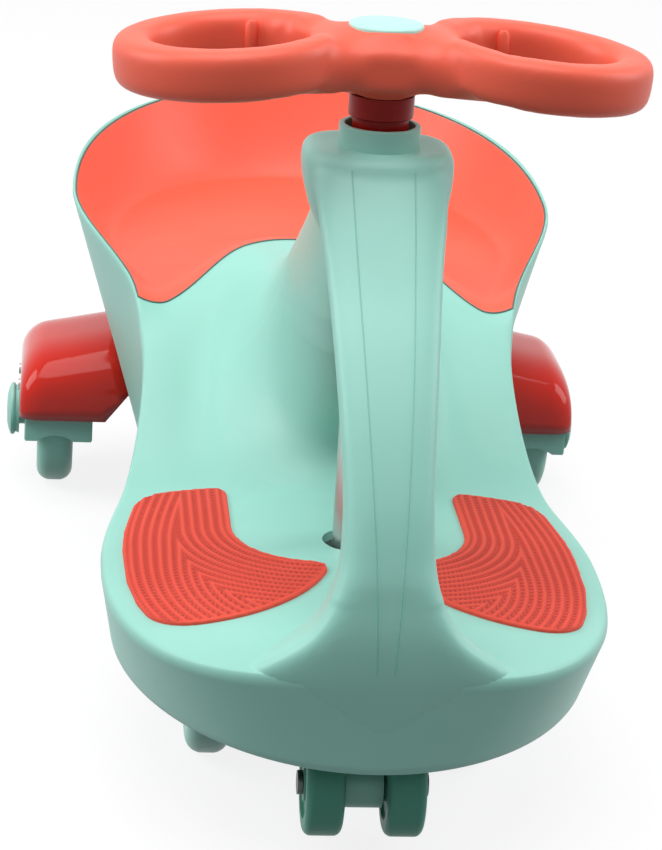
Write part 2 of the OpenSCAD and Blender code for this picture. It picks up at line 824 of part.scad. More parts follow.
module wheel_core() {
    rim_width = wheel_width - 2 * tyre_lip;
    hub_wall = tyre_lip * 2;
    color("#5aa793") rotate_extrude() {
        translate([tyre_inner_r - hub_wall, -rim_width / 2]) square([hub_wall, rim_width]);
        translate([bearing_r, -core_web / 2]) square([tyre_inner_r - bearing_r - hub_wall / 2, core_web]);
        translate([bearing_r, -wheel_width / 2]) square([hub_wall, wheel_width]);
        translate([bearing_r - bearing_lip, bearing_width - wheel_width / 2])
            square([hub_wall, wheel_width - 2 * bearing_width]);
    }
}

module wheel_bearings() {
    color("#c9cdce") for (side = [-1, 1]) {
        translate([0, 0, side * (wheel_width - bearing_width) / 2]) difference() {
            cylinder(r = bearing_r, h = bearing_width, center = true);
            cylinder(r = axle_r + running_fit, h = bearing_width + 2 * overrun, center = true);
        }
    }
}

module guard_wheel() {
    color("#6db5a2") rotate_extrude()
        round_band(guard_axle_r + running_fit, guard_r, guard_width, guard_round);
}

// Rear wheel carrier on the right side: two plates joined by end walls before and behind the wheel
module fork_plate(x0, x1) {
    translate([x0, wheelbase, wheel_r]) rotate([90, 0, 90]) linear_extrude(x1 - x0) {
        circle(r = fork_boss_r);
        translate([-fork_plate_half, 0]) square([2 * fork_plate_half, fork_plate_top - wheel_r]);
        translate([fork_step - fork_end, fork_end_bottom + fork_step - wheel_r])
            square([2 * (fork_end - fork_step), fork_end_top - fork_end_bottom - 2 * fork_step]);
    }
}

module fender_screw_places() {
    for (side = [-1, 1]) {
        translate([fender_out_x, wheelbase + side * fender_screw_y, fender_screw_z]) children();
    }
}

module rear_fork_right() {
    in_x = fork_in_x - inner_plate;
    out_x = fork_out_x + plate_thickness;
    link_half = fork_plate_half - fork_step;
    color("#86cbb9") difference() {
        union() {
            fork_plate(in_x, fork_in_x);
            fork_plate(fork_out_x, out_x);
            for (y0 = [wheelbase - fork_end, wheelbase + fork_end - fork_end_wall]) {
                translate([in_x + fork_step, y0, fork_end_bottom])
                    cube([out_x - in_x - 2 * fork_step, fork_end_wall, fork_end_top - fork_end_bottom]);
            }
            translate([mount_x, wheelbase - flange_half, flange_bottom])
                cube([flange_width, 2 * flange_half, flange_top - flange_bottom]);
            translate([mount_x + flange_width / 2, wheelbase - link_half, flange_bottom + fork_step])
                cube([flange_width, 2 * link_half, fork_plate_top - flange_bottom - 2 * fork_step]);
        }
        along_x(in_x - overrun, out_x + overrun, axle_r, wheelbase, wheel_r);
        translate([rear_x, wheelbase, fork_end_bottom - fork_notch_drop]) rotate([90, 0, 0])
            cylinder(r = fork_notch_r, h = 2 * fork_end + 2 * overrun, center = true);
        for (side = [-1, 1]) {
            along_x(mount_x - overrun, mount_x + flange_width + overrun, fork_bolt_r,
                wheelbase + side * fork_bolt_y, fork_bolt_z);
        }
        fender_screw_places() along_x(fork_out_x - fender_out_x - overrun, overrun, fender_screw_r);
    }
}

module rear_fork_left() {
    mirror([1, 0, 0]) rear_fork_right();
}

module fork_bolts() {
    color("#b9bec2") fork_bolt_places() {
        along_x(-fork_bolt_length, 0, fork_bolt_r);
        along_x(0, fork_bolt_head, fork_bolt_head_r);
    }
}

// Fender loaf: arched sections from the body out to the rounded outer face
function fender_row(x, inset) =
    let (edge = clamp01((x - fender_out_x + fender_round) / fender_round),
        shrink = 1 - sqrt(1 - edge * edge),
        top = mix(fender_root_top, fender_edge_top, (x - mount_x) / (fender_out_x - mount_x))
            - fender_round * shrink - inset,
        half = fender_half - fender_round / 2 * shrink - inset,
        bottom = fender_bottom - (inset > 0 ? overrun : 0))
        [for (i = [0 : fender_steps]) let (a = 180 * i / fender_steps, c = cos(a), s = max(sin(a), 0))
            [x - inset, wheelbase + half * sign(c) * pow(abs(c), 2 / fender_power),
                bottom + (top - bottom) * pow(s, 2 / fender_power)]];

module fender_loaf(inset) {
    skin([for (share = fender_row_shares) fender_row(mix(fender_root_x, fender_out_x, share), inset)]);
}

// The body's side walls as a solid, a little larger than the body
module wall_block() {
    belt = belt_loop(-fender_gap);
    skirt = skirt_loop(-fender_gap);
    skin([
        [for (p = skirt) [p[0], p[1], 0]],
        [for (p = skirt) [p[0], p[1], skirt_height]],
        wall_ring(belt, skirt, 0, edge_round)
    ], true);
}

// Cuts the lower corner of the fender beside the body
module fender_chamfer() {
    low = fender_bottom - overrun;
    reach = fender_half + overrun;
    translate([0, wheelbase + reach, 0]) rotate([90, 0, 0]) linear_extrude(2 * reach)
        polygon([[fender_root_x - overrun, low], [fender_chamfer_x, low],
            [fender_root_x - overrun, low + (fender_chamfer_x - fender_root_x) * fender_chamfer_slope]]);
}

module fender_right() {
    color("#c92b20") difference() {
        fender_loaf(0);
        fender_loaf(fender_wall);
        wall_block();
        fender_chamfer();
        along_x(fork_out_x, fender_out_x + overrun, hub_cap_stem_r + skin_gap, wheelbase, wheel_r);
        fender_screw_places() along_x(-2 * fender_wall, overrun, fender_screw_r);
    }
}

module fender_left() {
    mirror([1, 0, 0]) fender_right();
}

module fender_screws() {
    color("#b9bec2") both_sides() fender_screw_places() {
        along_x(fork_out_x - fender_out_x, 0, fender_screw_r);
        along_x(0, fender_screw_head, fender_screw_head_r);
    }
}

module rear_axle_right() {
    head_x = fork_out_x + plate_thickness;
    tail_x = fork_in_x - inner_plate - nut_width - tyre_lip;
    color("#b9bec2") {
        along_x(tail_x, head_x, axle_r, wheelbase, wheel_r);
        along_x(head_x, head_x + bolt_head_rise, bolt_head_r, wheelbase, wheel_r);
    }
}

module rear_axle_left() {
    mirror([1, 0, 0]) rear_axle_right();
}

module rear_axle_nuts() {
    x1 = fork_in_x - inner_plate;
    color("#7c8484") both_sides() difference() {
        along_x(x1 - nut_width, x1, nut_r, wheelbase, wheel_r);
        along_x(x1 - nut_width - overrun, x1 + overrun, axle_r, wheelbase, wheel_r);
    }
}

module rear_spacers() {
    color("#d8dcdc") both_sides() {
        spacer(fork_in_x, fork_in_x + wheel_gap - end_play, wheelbase);
        spacer(fork_out_x - wheel_gap + end_play, fork_out_x, wheelbase);
    }
}

module axle_cap_right() {
    face_x = fork_out_x + plate_thickness;
    dome_x = fender_out_x + skin_gap;
    color("#a9e0d3") on_axle(0, wheelbase, wheel_r) difference() {
        union() {
            translate([0, 0, face_x]) cylinder(r = hub_cap_stem_r, h = dome_x - face_x + overrun);
            translate([0, 0, dome_x]) cylinder(r1 = hub_cap_r, r2 = hub_cap_r - cap_round, h = hub_cap_rise);
        }
        translate([0, 0, face_x - overrun]) cylinder(r = hub_cap_bore_r, h = bolt_head_rise + 2 * overrun);
    }
}

module axle_cap_left() {
    mirror([1, 0, 0]) axle_cap_right();
}

module seat_screws() {
    color("#b9bec2") seat_screw_places() {
        translate([0, 0, -body_wall - screw_head]) cylinder(r = screw_head_r, h = screw_head);
        translate([0, 0, -body_wall]) cylinder(r = screw_r, h = body_wall);
    }
}

// Every part is drawn about the steering axis and moved so that the origin is under the middle
module in_frame() {
    translate([0, axis_y, 0]) children();
}

in_frame() body_shell();
in_frame() seat_insert();
in_frame() foot_pad_left();
in_frame() foot_pad_right();
in_frame() upper_bush();
in_frame() lower_bush();
in_frame() steering_wheel();
in_frame() steering_cap();
in_frame() shaft_bolt();
in_frame() steering_neck();
in_frame() steering_shaft();
in_frame() thrust_washer();
in_frame() front_yoke();
in_frame() yoke_pin();
in_frame() front_axle_left();
in_frame() front_axle_right();
in_frame() front_spacers();
in_frame() guard_axle();
in_frame() guard_clips();
in_frame() on_axle(-guard_x, -guard_reach, guard_z) guard_wheel();  // guard_wheel_left
in_frame() on_axle(guard_x, -guard_reach, guard_z) guard_wheel();  // guard_wheel_right
in_frame() on_axle(-front_x, 0, wheel_r) tyre();  // front_tyre_left
in_frame() on_axle(-front_x, 0, wheel_r) wheel_core();  // front_core_left
in_frame() on_axle(-front_x, 0, wheel_r) wheel_bearings();  // front_bearings_left
in_frame() on_axle(front_x, 0, wheel_r) tyre();  // front_tyre_right
in_frame() on_axle(front_x, 0, wheel_r) wheel_core();  // front_core_right
in_frame() on_axle(front_x, 0, wheel_r) wheel_bearings();  // front_bearings_right
in_frame() rear_fork_left();
in_frame() rear_fork_right();
in_frame() fork_bolts();
in_frame() fender_left();
in_frame() fender_right();
in_frame() fender_screws();
in_frame() rear_axle_left();
in_frame() rear_axle_right();
in_frame() rear_axle_nuts();
in_frame() rear_spacers();
in_frame() axle_cap_left();
in_frame() axle_cap_right();
in_frame() on_axle(-rear_x, wheelbase, wheel_r) tyre();  // rear_tyre_left
in_frame() on_axle(-rear_x, wheelbase, wheel_r) wheel_core();  // rear_core_left
in_frame() on_axle(-rear_x, wheelbase, wheel_r) wheel_bearings();  // rear_bearings_left
in_frame() on_axle(rear_x, wheelbase, wheel_r) tyre();  // rear_tyre_right
in_frame() on_axle(rear_x, wheelbase, wheel_r) wheel_core();  // rear_core_right
in_frame() on_axle(rear_x, wheelbase, wheel_r) wheel_bearings();  // rear_bearings_right
in_frame() seat_screws();
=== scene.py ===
"""Looks of the wiggle car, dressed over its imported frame."""
import math

import bmesh
import bpy
from mathutils import Matrix, Vector
from mathutils.bvhtree import BVHTree


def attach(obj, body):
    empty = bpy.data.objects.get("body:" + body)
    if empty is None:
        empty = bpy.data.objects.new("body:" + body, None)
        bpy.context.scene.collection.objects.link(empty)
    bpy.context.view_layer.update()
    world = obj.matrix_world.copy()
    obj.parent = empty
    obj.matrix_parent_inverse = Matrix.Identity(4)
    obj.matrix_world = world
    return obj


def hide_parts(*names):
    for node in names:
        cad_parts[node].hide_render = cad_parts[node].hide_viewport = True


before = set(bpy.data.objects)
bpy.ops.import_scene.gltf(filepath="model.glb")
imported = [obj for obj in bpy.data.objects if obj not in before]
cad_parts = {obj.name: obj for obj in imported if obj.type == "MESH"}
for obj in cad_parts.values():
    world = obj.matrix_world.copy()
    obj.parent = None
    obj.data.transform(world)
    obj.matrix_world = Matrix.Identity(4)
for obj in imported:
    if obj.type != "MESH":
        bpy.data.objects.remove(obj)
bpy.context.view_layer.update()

# Sizes in millimetres, measured from the steering axis at ground level; the front faces -Y
MM = 0.001
AXIS_Y = -190

# Body plan: half widths at the front lobes, the waist and the seat
BELT_HALF = (130, 106.5, 148)
SKIRT_HALF = (124, 94.5, 104)
NOSE_Y = -168
TAIL_Y = 548
SKIRT_NOSE_Y = -165
SKIRT_TAIL_Y = 486
LOBE_Y = 8
SKIRT_LOBE_Y = 4
WAIST_Y = 178
HIP_Y = 348
SPINE_FRONT_Y = -96
SPINE_BACK_Y = 455
FRONT_POWER = 2.5
SKIRT_FRONT_POWER = 2
TAIL_POWER = 2.2
BODY_WALL = 4
TOP_WALL = 7.5
EDGE_ROUND = 5
PLAN_FRONT_STEPS = 40
PLAN_SIDE_STEPS = 66
PLAN_TAIL_STEPS = 44
ROUND_STEPS = 72

# Body heights
SKIRT_Z = 64
DECK_Z = 118
SEAT_Z = 178
RIM_RISE = 60
RIM_FLARE = 1.5
BOWL_SHARE = 0.82
PILLAR_Z = 328
PILLAR_WIDTH = 76
COLLAR_R = 20.3
COLLAR_BORE_R = 17.5
COLLAR_TOP = 339
SEAT_CORNER_Y = 213
SEAT_WAVE = 92
SEAT_WAVE_FADE = 4
SEAT_BACK_Y = 455
SEAT_LIFT = 0.9
DECK_HOLE_R = 16.1
HOLE_LIP_DEPTH = 10
BOSS_R = 24
BOSS_BOTTOM = 90

# Upper side: climb from deck to seat, rise of the rim, hump and ridge of the saddle, droop of the sides
CLIMB_Y = (50, 232)
RIM_START_Y = 200
RIM_POWER = 0.6
HUMP_RISE = 50
HUMP_HALF = 112
HUMP_Y = (70, 215, 370)
RIDGE_RISE = 66
RIDGE_HALF = 92
RIDGE_POWER = 1.6
RIDGE_Y = (78, 160, 285)
WING_DROP = 14
WING_START_X = 12
WING_END_Y = 88
WING_FADE = 80

# Rings of the tub: shares down its wall, [share inward, drop] over its edge, shares inward on top
WALL_SHARES = (0.985, 0.9, 0.75, 0.6, 0.45, 0.3, 0.15, 0.05, 0)
EDGE_ROWS = ((0.0025, 2.6), (0.007, 1.1), (0.013, 0.3))
TOP_SHARES = (0.022, 0.034, 0.05, 0.07, 0.09, 0.11, 0.13, 0.15, 0.17, 0.19, 0.21)
TOP_STEPS = 30

# Rows of the rear leg, the front band and the head: [height, front, back or depth, half width] as shares
FIN_FOOT_Y = 96
FIN_BACK_Y = 305
FIN_POWER = 2.2
HEAD_POWER = 3
BAND_POWER = 3.4
BAND_FOOT_POWER = 9
BAND_FOOT_SHARE = 0.25
BAND_TAPER = 0.3
BAND_FINE_STEPS = 6
FIN_ROWS = [
    (-0.03, 1.16, 0.9, 0.95),
    (0.07, 0.98, 0.92, 0.86),
    (0.2, 0.76, 0.94, 0.84),
    (0.34, 0.57, 0.92, 0.84),
    (0.48, 0.43, 0.76, 0.78),
    (0.6, 0.34, 0.6, 0.68),
    (0.72, 0.26, 0.45, 0.62),
    (0.84, 0.19, 0.3, 0.6),
    (0.95, 0.12, 0.15, 0.62),
]
BAND_ROWS = [
    (-0.24, 0.981, 0.22, 1.8),
    (-0.13, 0.9932, 0.25, 1.95),
    (-0.06, 1.001, 0.26, 1.9),
    (-0.02, 1.004, 0.27, 1.66),
    (0.02, 1.0045, 0.28, 1.36),
    (0.05, 1.003, 0.29, 1.13),
    (0.09, 0.997, 0.3, 0.92),
    (0.15, 0.98, 0.3, 0.75),
    (0.22, 0.955, 0.29, 0.66),
    (0.35, 0.878, 0.27, 0.63),
    (0.5, 0.75, 0.26, 0.68),
    (0.64, 0.6, 0.26, 0.75),
    (0.77, 0.43, 0.25, 0.83),
    (0.88, 0.29, 0.25, 0.93),
    (0.96, 0.18, 0.24, 0.98),
]
HEAD_ROWS = [
    (0.76, -0.22, 0.08, 0.6),
    (0.84, -0.22, 0.16, 0.84),
    (0.88, -0.235, 0.2, 0.92),
    (0.92, -0.215, 0.22, 0.97),
    (0.96, -0.186, 0.22, 0.99),
    (0.985, -0.168, 0.21, 0.97),
    (1, -0.14, 0.19, 0.9),
]

# Where the feet of the arch are eased further into the body: [low corner, high corner, passes];
# the easing is full up to the first distance from the arch, and none from the second on
FOOT_BOXES = [
    ((-82, NOSE_Y - 5, SKIRT_Z + 10), (82, NOSE_Y + 18, DECK_Z + 32), 18),
    ((-84, 20, DECK_Z - 4), (84, 235, 240), 110),
    ((-80, 20, DECK_Z - 4), (80, 205, 220), 150),
    ((-76, 20, DECK_Z - 4), (76, 175, 200), 200),
]
EASED_NEAR = 11
EASED_FAR = 37

# Copy of the tub that the arch is fused with: where it is cut off, and how far its nose is drawn in,
# so that the fused skin doesn't mix up two walls that lie close together
TUB_CUTS = (((100, 0, 0), (1, 0, 0)), ((-100, 0, 0), (-1, 0, 0)), ((0, 345, 0), (0, 1, 0)))
DRAWN_IN_REACH = 50
DRAWN_IN_SHARE = 0.1

# Skin of the arch: how far from the arch it may run, the least rise over the tub at which it is kept,
# and how deep its border is tucked into the tub
ARCH_REACH = 45
ARCH_LEAST_RISE = 0.06
ARCH_TUCKED_IN = 0.12

# Lines down the front band
GROOVE_Z = (322, 118)
GROOVE_X = (15.5, 4.2)
GROOVE_BEND = 0.35
GROOVE_STEPS = 69
GROOVE_R = 0.4
LINE_SIDES = 8

# Lining: shares as for the tub, and the ribs and blocks under the deck
LINING_WALL_SHARES = (0.997, 0.75, 0.5, 0.25, 0.05)
LINING_TOP_SHARES = (0.03, 0.06, 0.1, 0.15, 0.22, 0.3, 0.4, 0.5, 0.6, 0.7, 0.8, 0.9, 1)
RIB_COUNT = 8
RIB_HALF = 1.5
RIB_END = 92
RIB_BOTTOM = 98
RIB_SINK = 6
BLOCK_X = (63, 126)
BLOCK_Z = (66, 98)
BLOCK_HALF = 30

# Seat tray and the gap round it: shares inward from the rim
SEAT_SIDE_STEPS = 40
SEAT_TAIL_STEPS = 50
SEAT_EDGE_SHARES = (0.017, 0.026, 0.037, 0.052, 0.075)
SEAT_STEPS = 44
SEAT_EDGE_DROP = 4
SEAT_EDGE_BEVEL = 1.2
GAP_SHARE = 0.015
GAP_STEPS = 40
GAP_LIFT = 0.3
GAP_R = 0.45

# Foot pads: borders of the ribbed field, ribs and the beads between them
PAD_INNER_R = 62
PAD_INNER_Y = 27
PAD_MARGIN = 10.3
PAD_FRONT_R = 77
PAD_FRONT_X = 90
PAD_FRONT_Y = -19
PAD_BACK_Y = 86
PAD_OUTER_R = 120
PAD_PLAIN_EDGE = 1.5
PAD_FADE = 2
PAD_SINK = 0.5
PAD_TOP_FACING = 0.7
PAD_RIB_PITCH = 5
PAD_RIB_RISE = 1.0
PAD_BEAD_PITCH = 2.9
PAD_BEAD_RISE = 0.8

# Steering wheel
GRIP_X = 75
GRIP_RING_R = 48
GRIP_HALF_WIDTH = 10
GRIP_HALF_DEPTH = 12.5
GRIP_Z = 370.5
GRIP_DROOP = math.radians(5)
GRIP_SQUARENESS = 0.58
GRIP_STEPS = 32
WEB_HALF_DEPTH = 11.5
WEB_R = 47
WEB_BACK_Y = 30
WEB_STEPS = 24
HOLE_RIB_R = 37.5
HOLE_RIB_TURN = math.radians(108)
HUB_BOTTOM = 354
HUB_TOP = 388
CAP_R = 18.5
CAP_BOTTOM = 385.5
CAP_TOP = 390
NECK_BOTTOM = 325.4
NECK_R = 14
NECK_STEP_Z = 343
NECK_STEP_R = 16.2
NECK_BORE_R = 11

# Wheels
WHEEL_R = 46
WHEEL_HALF_WIDTH = 11.5
TYRE_INNER_R = 29
TREAD_ROUND = 9
SPOKE_COUNT = 6
SPOKE_SIZE = (17, 2.6, 11)
SPOKE_R = 20
REAR_X = 154.5
REAR_Y = 404
FRONT_X = 72
GUARD_X = 20
GUARD_Y = -108
GUARD_Z = 32
GUARD_R = 26
GUARD_HALF_WIDTH = 9.5
GUARD_BORE_R = 3.1
GUARD_ROUND = 4
GUARD_RECESS = 1.6
AXLE_CAP_IN_X = 174
AXLE_CAP_FACE_X = 178.1

# Fenders
FENDER_OUT_X = 177.5
FENDER_MOUNT_X = 126
FENDER_BOTTOM = 58
FENDER_HALF = 58
FENDER_ROOT_TOP = 106
FENDER_EDGE_TOP = 95
FENDER_ROUND = 16
FENDER_POWER = 3.2
FENDER_WALL = 3.5
FENDER_CHAMFER_X = 124
FENDER_CHAMFER_SLOPE = 1.27
FENDER_STEPS = 48
FENDER_SHARES = (0, 0.15, 0.3, 0.45, 0.6, 0.68, 0.74)
FENDER_EDGE_STEPS = 14
FENDER_SUNK = 1.5

# Mesh work: distance at which doubles are merged, how deep in a form a place still counts as outside it,
# and the cosine between two forms' faces above which they make no corner
MERGE_DISTANCE = 0.002
CORNER_SINK = 0.6
CORNER_LEAST_TURN = 0.85

UPRIGHT = (0, 0, 1)
ACROSS = (1, 0, 0)


def point(x, y, z):
    """A place measured from the steering axis, in the frame's metres."""
    return Vector((x, y + AXIS_Y, z)) * MM


def clamp01(t):
    return min(max(t, 0.0), 1.0)


def smooth(t):
    c = clamp01(t)
    return c * c * (3 - 2 * c)


def mix(a, b, t):
    return a + (b - a) * t


def power(base, exponent):
    """A power that keeps the sign of its base."""
    return math.copysign(abs(base) ** exponent, base)


def refined(rows, steps):
    """Rows of numbers with a smooth curve through them, steps between each two."""
    out = []
    last = len(rows) - 1
    for i in range(last):
        near = (rows[max(i - 1, 0)], rows[i], rows[i + 1], rows[min(i + 2, last)])
        for k in range(steps):
            t = k / steps
            out.append([
                0.5 * (2 * b + (c - a) * t + (2 * a - 5 * b + 4 * c - d) * t * t
                       + (3 * b - a - 3 * c + d) * t ** 3)
                for a, b, c, d in zip(*near)
            ])
    return out + [list(rows[last])]


# Plan and upper side of the body

def side_x(y, half):
    if y < WAIST_Y:
        return mix(half[0], half[1], smooth((y - LOBE_Y) / (WAIST_Y - LOBE_Y)))
    return mix(half[1], half[2], smooth((y - WAIST_Y) / (HIP_Y - WAIST_Y)))


def tail_curve(half, tail, steps):
    turns = [math.pi / 2 * i / steps for i in range(steps + 1)]
    return [(half * abs(math.cos(a)) ** (2 / TAIL_POWER),
             HIP_Y + (tail - HIP_Y) * math.sin(a) ** (2 / TAIL_POWER)) for a in turns]


def plan(nose, tail, half, front_power, lobe):
    """The body's outline seen from above, right side from nose to tail and back along the left."""
    turns = [math.pi / 2 * i / PLAN_FRONT_STEPS for i in range(PLAN_FRONT_STEPS + 1)]
    right = [(half[0] * math.sin(a) ** (2 / front_power),
              lobe - (lobe - nose) * abs(math.cos(a)) ** (2 / front_power)) for a in turns]
    sides = [mix(lobe, HIP_Y, i / PLAN_SIDE_STEPS) for i in range(1, PLAN_SIDE_STEPS)]
    right += [(side_x(y, half), y) for y in sides]
    right += tail_curve(half[2], tail, PLAN_TAIL_STEPS)
    right[0] = (0.0, right[0][1])
    right[-1] = (0.0, right[-1][1])
    return right + [(-x, y) for x, y in reversed(right[1:-1])]


def belt_plan(inset):
    half = [h - inset for h in BELT_HALF]
    return plan(NOSE_Y + inset, TAIL_Y - inset, half, FRONT_POWER, LOBE_Y)


def skirt_plan(inset):
    half = [h - inset for h in SKIRT_HALF]
    return plan(SKIRT_NOSE_Y + inset, SKIRT_TAIL_Y - inset, half, SKIRT_FRONT_POWER, SKIRT_LOBE_Y)


def inward(p, share):
    spine_y = mix(SPINE_FRONT_Y, SPINE_BACK_Y, (p[1] - NOSE_Y) / (TAIL_Y - NOSE_Y))
    return p[0] * (1 - share), mix(p[1], spine_y, share)


def bell(t):
    return math.cos(math.pi / 2 * clamp01(abs(t))) ** 2


def rise_and_fall(y, front, top, back):
    if y < top:
        return smooth((y - front) / (top - front))
    return 1 - smooth((y - top) / (back - top))


def wave(x):
    return SEAT_WAVE * bell(x / BELT_HALF[1])


def bowl(x, y):
    """How far up the seat's side wall a place is, from 0 on the floor to 1 at the rim."""
    if y < HIP_Y:
        reach = abs(x) / side_x(y, BELT_HALF)
    else:
        reach = ((abs(x) / BELT_HALF[2]) ** TAIL_POWER
                 + ((y - HIP_Y) / (TAIL_Y - HIP_Y)) ** TAIL_POWER) ** (1 / TAIL_POWER)
    return clamp01((reach - BOWL_SHARE) / (1 - BOWL_SHARE)) ** RIM_FLARE


def top_z(x, y):
    """Height of the body's upper side: deck, saddle with its ridge, and seat bowl."""
    climb = smooth((y - wave(x) - CLIMB_Y[0]) / (CLIMB_Y[1] - CLIMB_Y[0])) ** 2
    rim = RIM_RISE * clamp01((y - RIM_START_Y) / (TAIL_Y - RIM_START_Y)) ** RIM_POWER
    hump = HUMP_RISE * bell(x / HUMP_HALF) * rise_and_fall(y, *HUMP_Y)
    ridge = RIDGE_RISE * bell(x / RIDGE_HALF) ** RIDGE_POWER * rise_and_fall(y, *RIDGE_Y)
    outward = clamp01((abs(x) - WING_START_X) / (BELT_HALF[0] - WING_START_X))
    wing = WING_DROP * outward * (1 - smooth((y - WING_END_Y) / WING_FADE))
    return mix(DECK_Z, SEAT_Z, climb) + rim * bowl(x, y) + hump + ridge - wing


def on_top(p, drop):
    return point(p[0], p[1], top_z(*p) - drop)


def wall_ring(upper, lower, share, drop):
    ring = []
    for a, b in zip(upper, lower):
        z = mix(top_z(*a) - drop, SKIRT_Z, share)
        ring.append(point(mix(a[0], b[0], share), mix(a[1], b[1], share), z))
    return ring


def oval(front, back, half_x, z, roundness, taper=0.0):
    """A rounded outline, narrower at the back by a share of its width."""
    ring = []
    for i in range(ROUND_STEPS):
        a = 2 * math.pi * i / ROUND_STEPS
        depth = power(math.sin(a), 2 / roundness)
        x = half_x * power(math.cos(a), 2 / roundness) * (1 - taper * (depth + 1) / 2)
        ring.append(point(x, mix(front, back, (depth + 1) / 2), z))
    return ring


# Mesh work

def edges_of(verts):
    """Edges at some vertices, each once and in an order that is the same on every run."""
    return list(dict.fromkeys(edge for vert in verts for edge in vert.link_edges))


def verts_of(geom):
    return [v for v in geom if isinstance(v, bmesh.types.BMVert)]


def set_ring(place, ring):
    for vert, i in place.items():
        vert.co = ring[i]


def loft(bm, rings, closed=True):
    """Draws the first outline as a row of edges, then extrudes it from each outline to the next."""
    count = len(rings[0])
    if closed:
        row = bmesh.ops.create_circle(bm, segments=count, radius=MM)["verts"]
        edges = edges_of(row)
    else:
        row = [bm.verts.new(p) for p in rings[0]]
        edges = [bm.edges.new(pair) for pair in zip(row, row[1:])]
    place = {vert: i for i, vert in enumerate(row)}
    set_ring(place, rings[0])
    for ring in rings[1:]:
        made = bmesh.ops.extrude_edge_only(bm, edges=edges)["geom"]
        fresh = {}
        for vert in verts_of(made):
            before = [edge.other_vert(vert) for edge in vert.link_edges]
            fresh[vert] = next(place[v] for v in before if v in place)
        edges = [e for e in made if isinstance(e, bmesh.types.BMEdge) and all(v in fresh for v in e.verts)]
        place = fresh
        set_ring(place, ring)
    return place


def clean(bm):
    bmesh.ops.remove_doubles(bm, verts=bm.verts, dist=MERGE_DISTANCE * MM)
    bmesh.ops.recalc_face_normals(bm, faces=bm.faces)


def fill_ends(bm):
    bmesh.ops.holes_fill(bm, edges=[e for e in bm.edges if e.is_boundary])
    clean(bm)


def lathe(bm, profile, centre, axis, steps=96):
    """Spins a closed profile of (radius, place along the axis) once round."""
    axis = Vector(axis)
    side = Vector((0, 0, 1)) if abs(axis.z) < 0.5 else Vector((0, -1, 0))
    verts = [bm.verts.new(centre + (axis * along + side * r) * MM) for r, along in profile]
    edges = [bm.edges.new(pair) for pair in zip(verts, verts[1:])]
    bmesh.ops.spin(bm, geom=verts + edges, cent=centre, axis=axis, angle=2 * math.pi, steps=steps,
                   use_merge=True)
    clean(bm)


def arc(r, along, radius, start, end, steps=6):
    """Points of a rounded corner for a lathe profile, angles in degrees from outwards towards the axis."""
    turns = [math.radians(mix(start, end, i / steps)) for i in range(steps + 1)]
    return [(r + radius * math.cos(a), along + radius * math.sin(a)) for a in turns]


def rounded(bm, edges, width, segments, clamp=False):
    return bmesh.ops.bevel(bm, geom=edges, offset=width * MM, offset_type="OFFSET", segments=segments,
                           profile=0.5, affect="EDGES", material=-1, clamp_overlap=clamp)


def cut(bm, place, away):
    everything = list(bm.verts) + list(bm.edges) + list(bm.faces)
    bmesh.ops.bisect_plane(bm, geom=everything, plane_co=place, plane_no=away, clear_outer=True)


def box_form(bm, low, high, bevel):
    made = bmesh.ops.create_cube(bm, size=1)["verts"]
    low = point(*low)
    high = point(*high)
    bmesh.ops.scale(bm, vec=high - low, verts=made)
    bmesh.ops.translate(bm, vec=(low + high) / 2, verts=made)
    rounded(bm, edges_of(made), bevel, 2)


def tree_of(bm):
    """Search tree over a form's faces, listed in an order that is the same on every run."""
    bm.verts.index_update()
    polygons = []
    for face in bm.faces:
        ring = [v.index for v in face.verts]
        first = ring.index(min(ring))
        polygons.append(ring[first:] + ring[:first])
    return BVHTree.FromPolygons([v.co.copy() for v in bm.verts], sorted(polygons))


def fused(forms, cell, passes, blend_reach, blend_passes, overlap):
    """One moulded skin round overlapping closed forms, with its inner corners filled out."""
    trees = [tree_of(form) for form in forms]
    bm = bmesh.new()
    part = bpy.data.meshes.new("form")
    for form in forms:
        form.to_mesh(part)
        bm.from_mesh(part)
        form.free()
    bm.to_mesh(part)
    holder = bpy.data.objects.new("form", part)
    bpy.context.scene.collection.objects.link(holder)
    grid = holder.modifiers.new("grid", "REMESH")
    grid.mode = "VOXEL"
    grid.voxel_size = cell * MM
    done = holder.evaluated_get(bpy.context.evaluated_depsgraph_get())
    skin = bpy.data.meshes.new_from_object(done)
    bm.clear()
    bm.from_mesh(skin)
    bpy.data.objects.remove(holder)
    bpy.data.meshes.remove(part)
    bpy.data.meshes.remove(skin)
    corners = [v for v in bm.verts if in_corner(v.co, trees, blend_reach * MM, overlap * MM)]
    relax(bm, corners, blend_passes)
    relax(bm, bm.verts, passes)
    bm.normal_update()
    return bm


def in_corner(place, trees, reach, overlap):
    """Whether a place lies in the inner corner between two forms, near both and outside both."""
    found = []
    for tree in trees:
        near, normal = tree.find_nearest(place, reach)[:2]
        if near is not None and (place - near).dot(normal) > -CORNER_SINK * MM:
            found.append((near, normal))
    for i, (a, facing_a) in enumerate(found):
        for b, facing_b in found[:i]:
            hollow = (b - a).dot(facing_a) > -overlap and (a - b).dot(facing_b) > -overlap
            if hollow and facing_a.dot(facing_b) < CORNER_LEAST_TURN:
                return True
    return False


def relax(bm, verts, passes):
    for _ in range(passes):
        bmesh.ops.smooth_vert(bm, verts=verts, factor=0.5,
                              use_axis_x=True, use_axis_y=True, use_axis_z=True)


def copied(node):
    """A copy of a CAD node's mesh with its loose triangles joined."""
    bm = bmesh.new()
    bm.from_mesh(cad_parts[node].data)
    bmesh.ops.remove_doubles(bm, verts=bm.verts, dist=MERGE_DISTANCE * MM)
    return bm


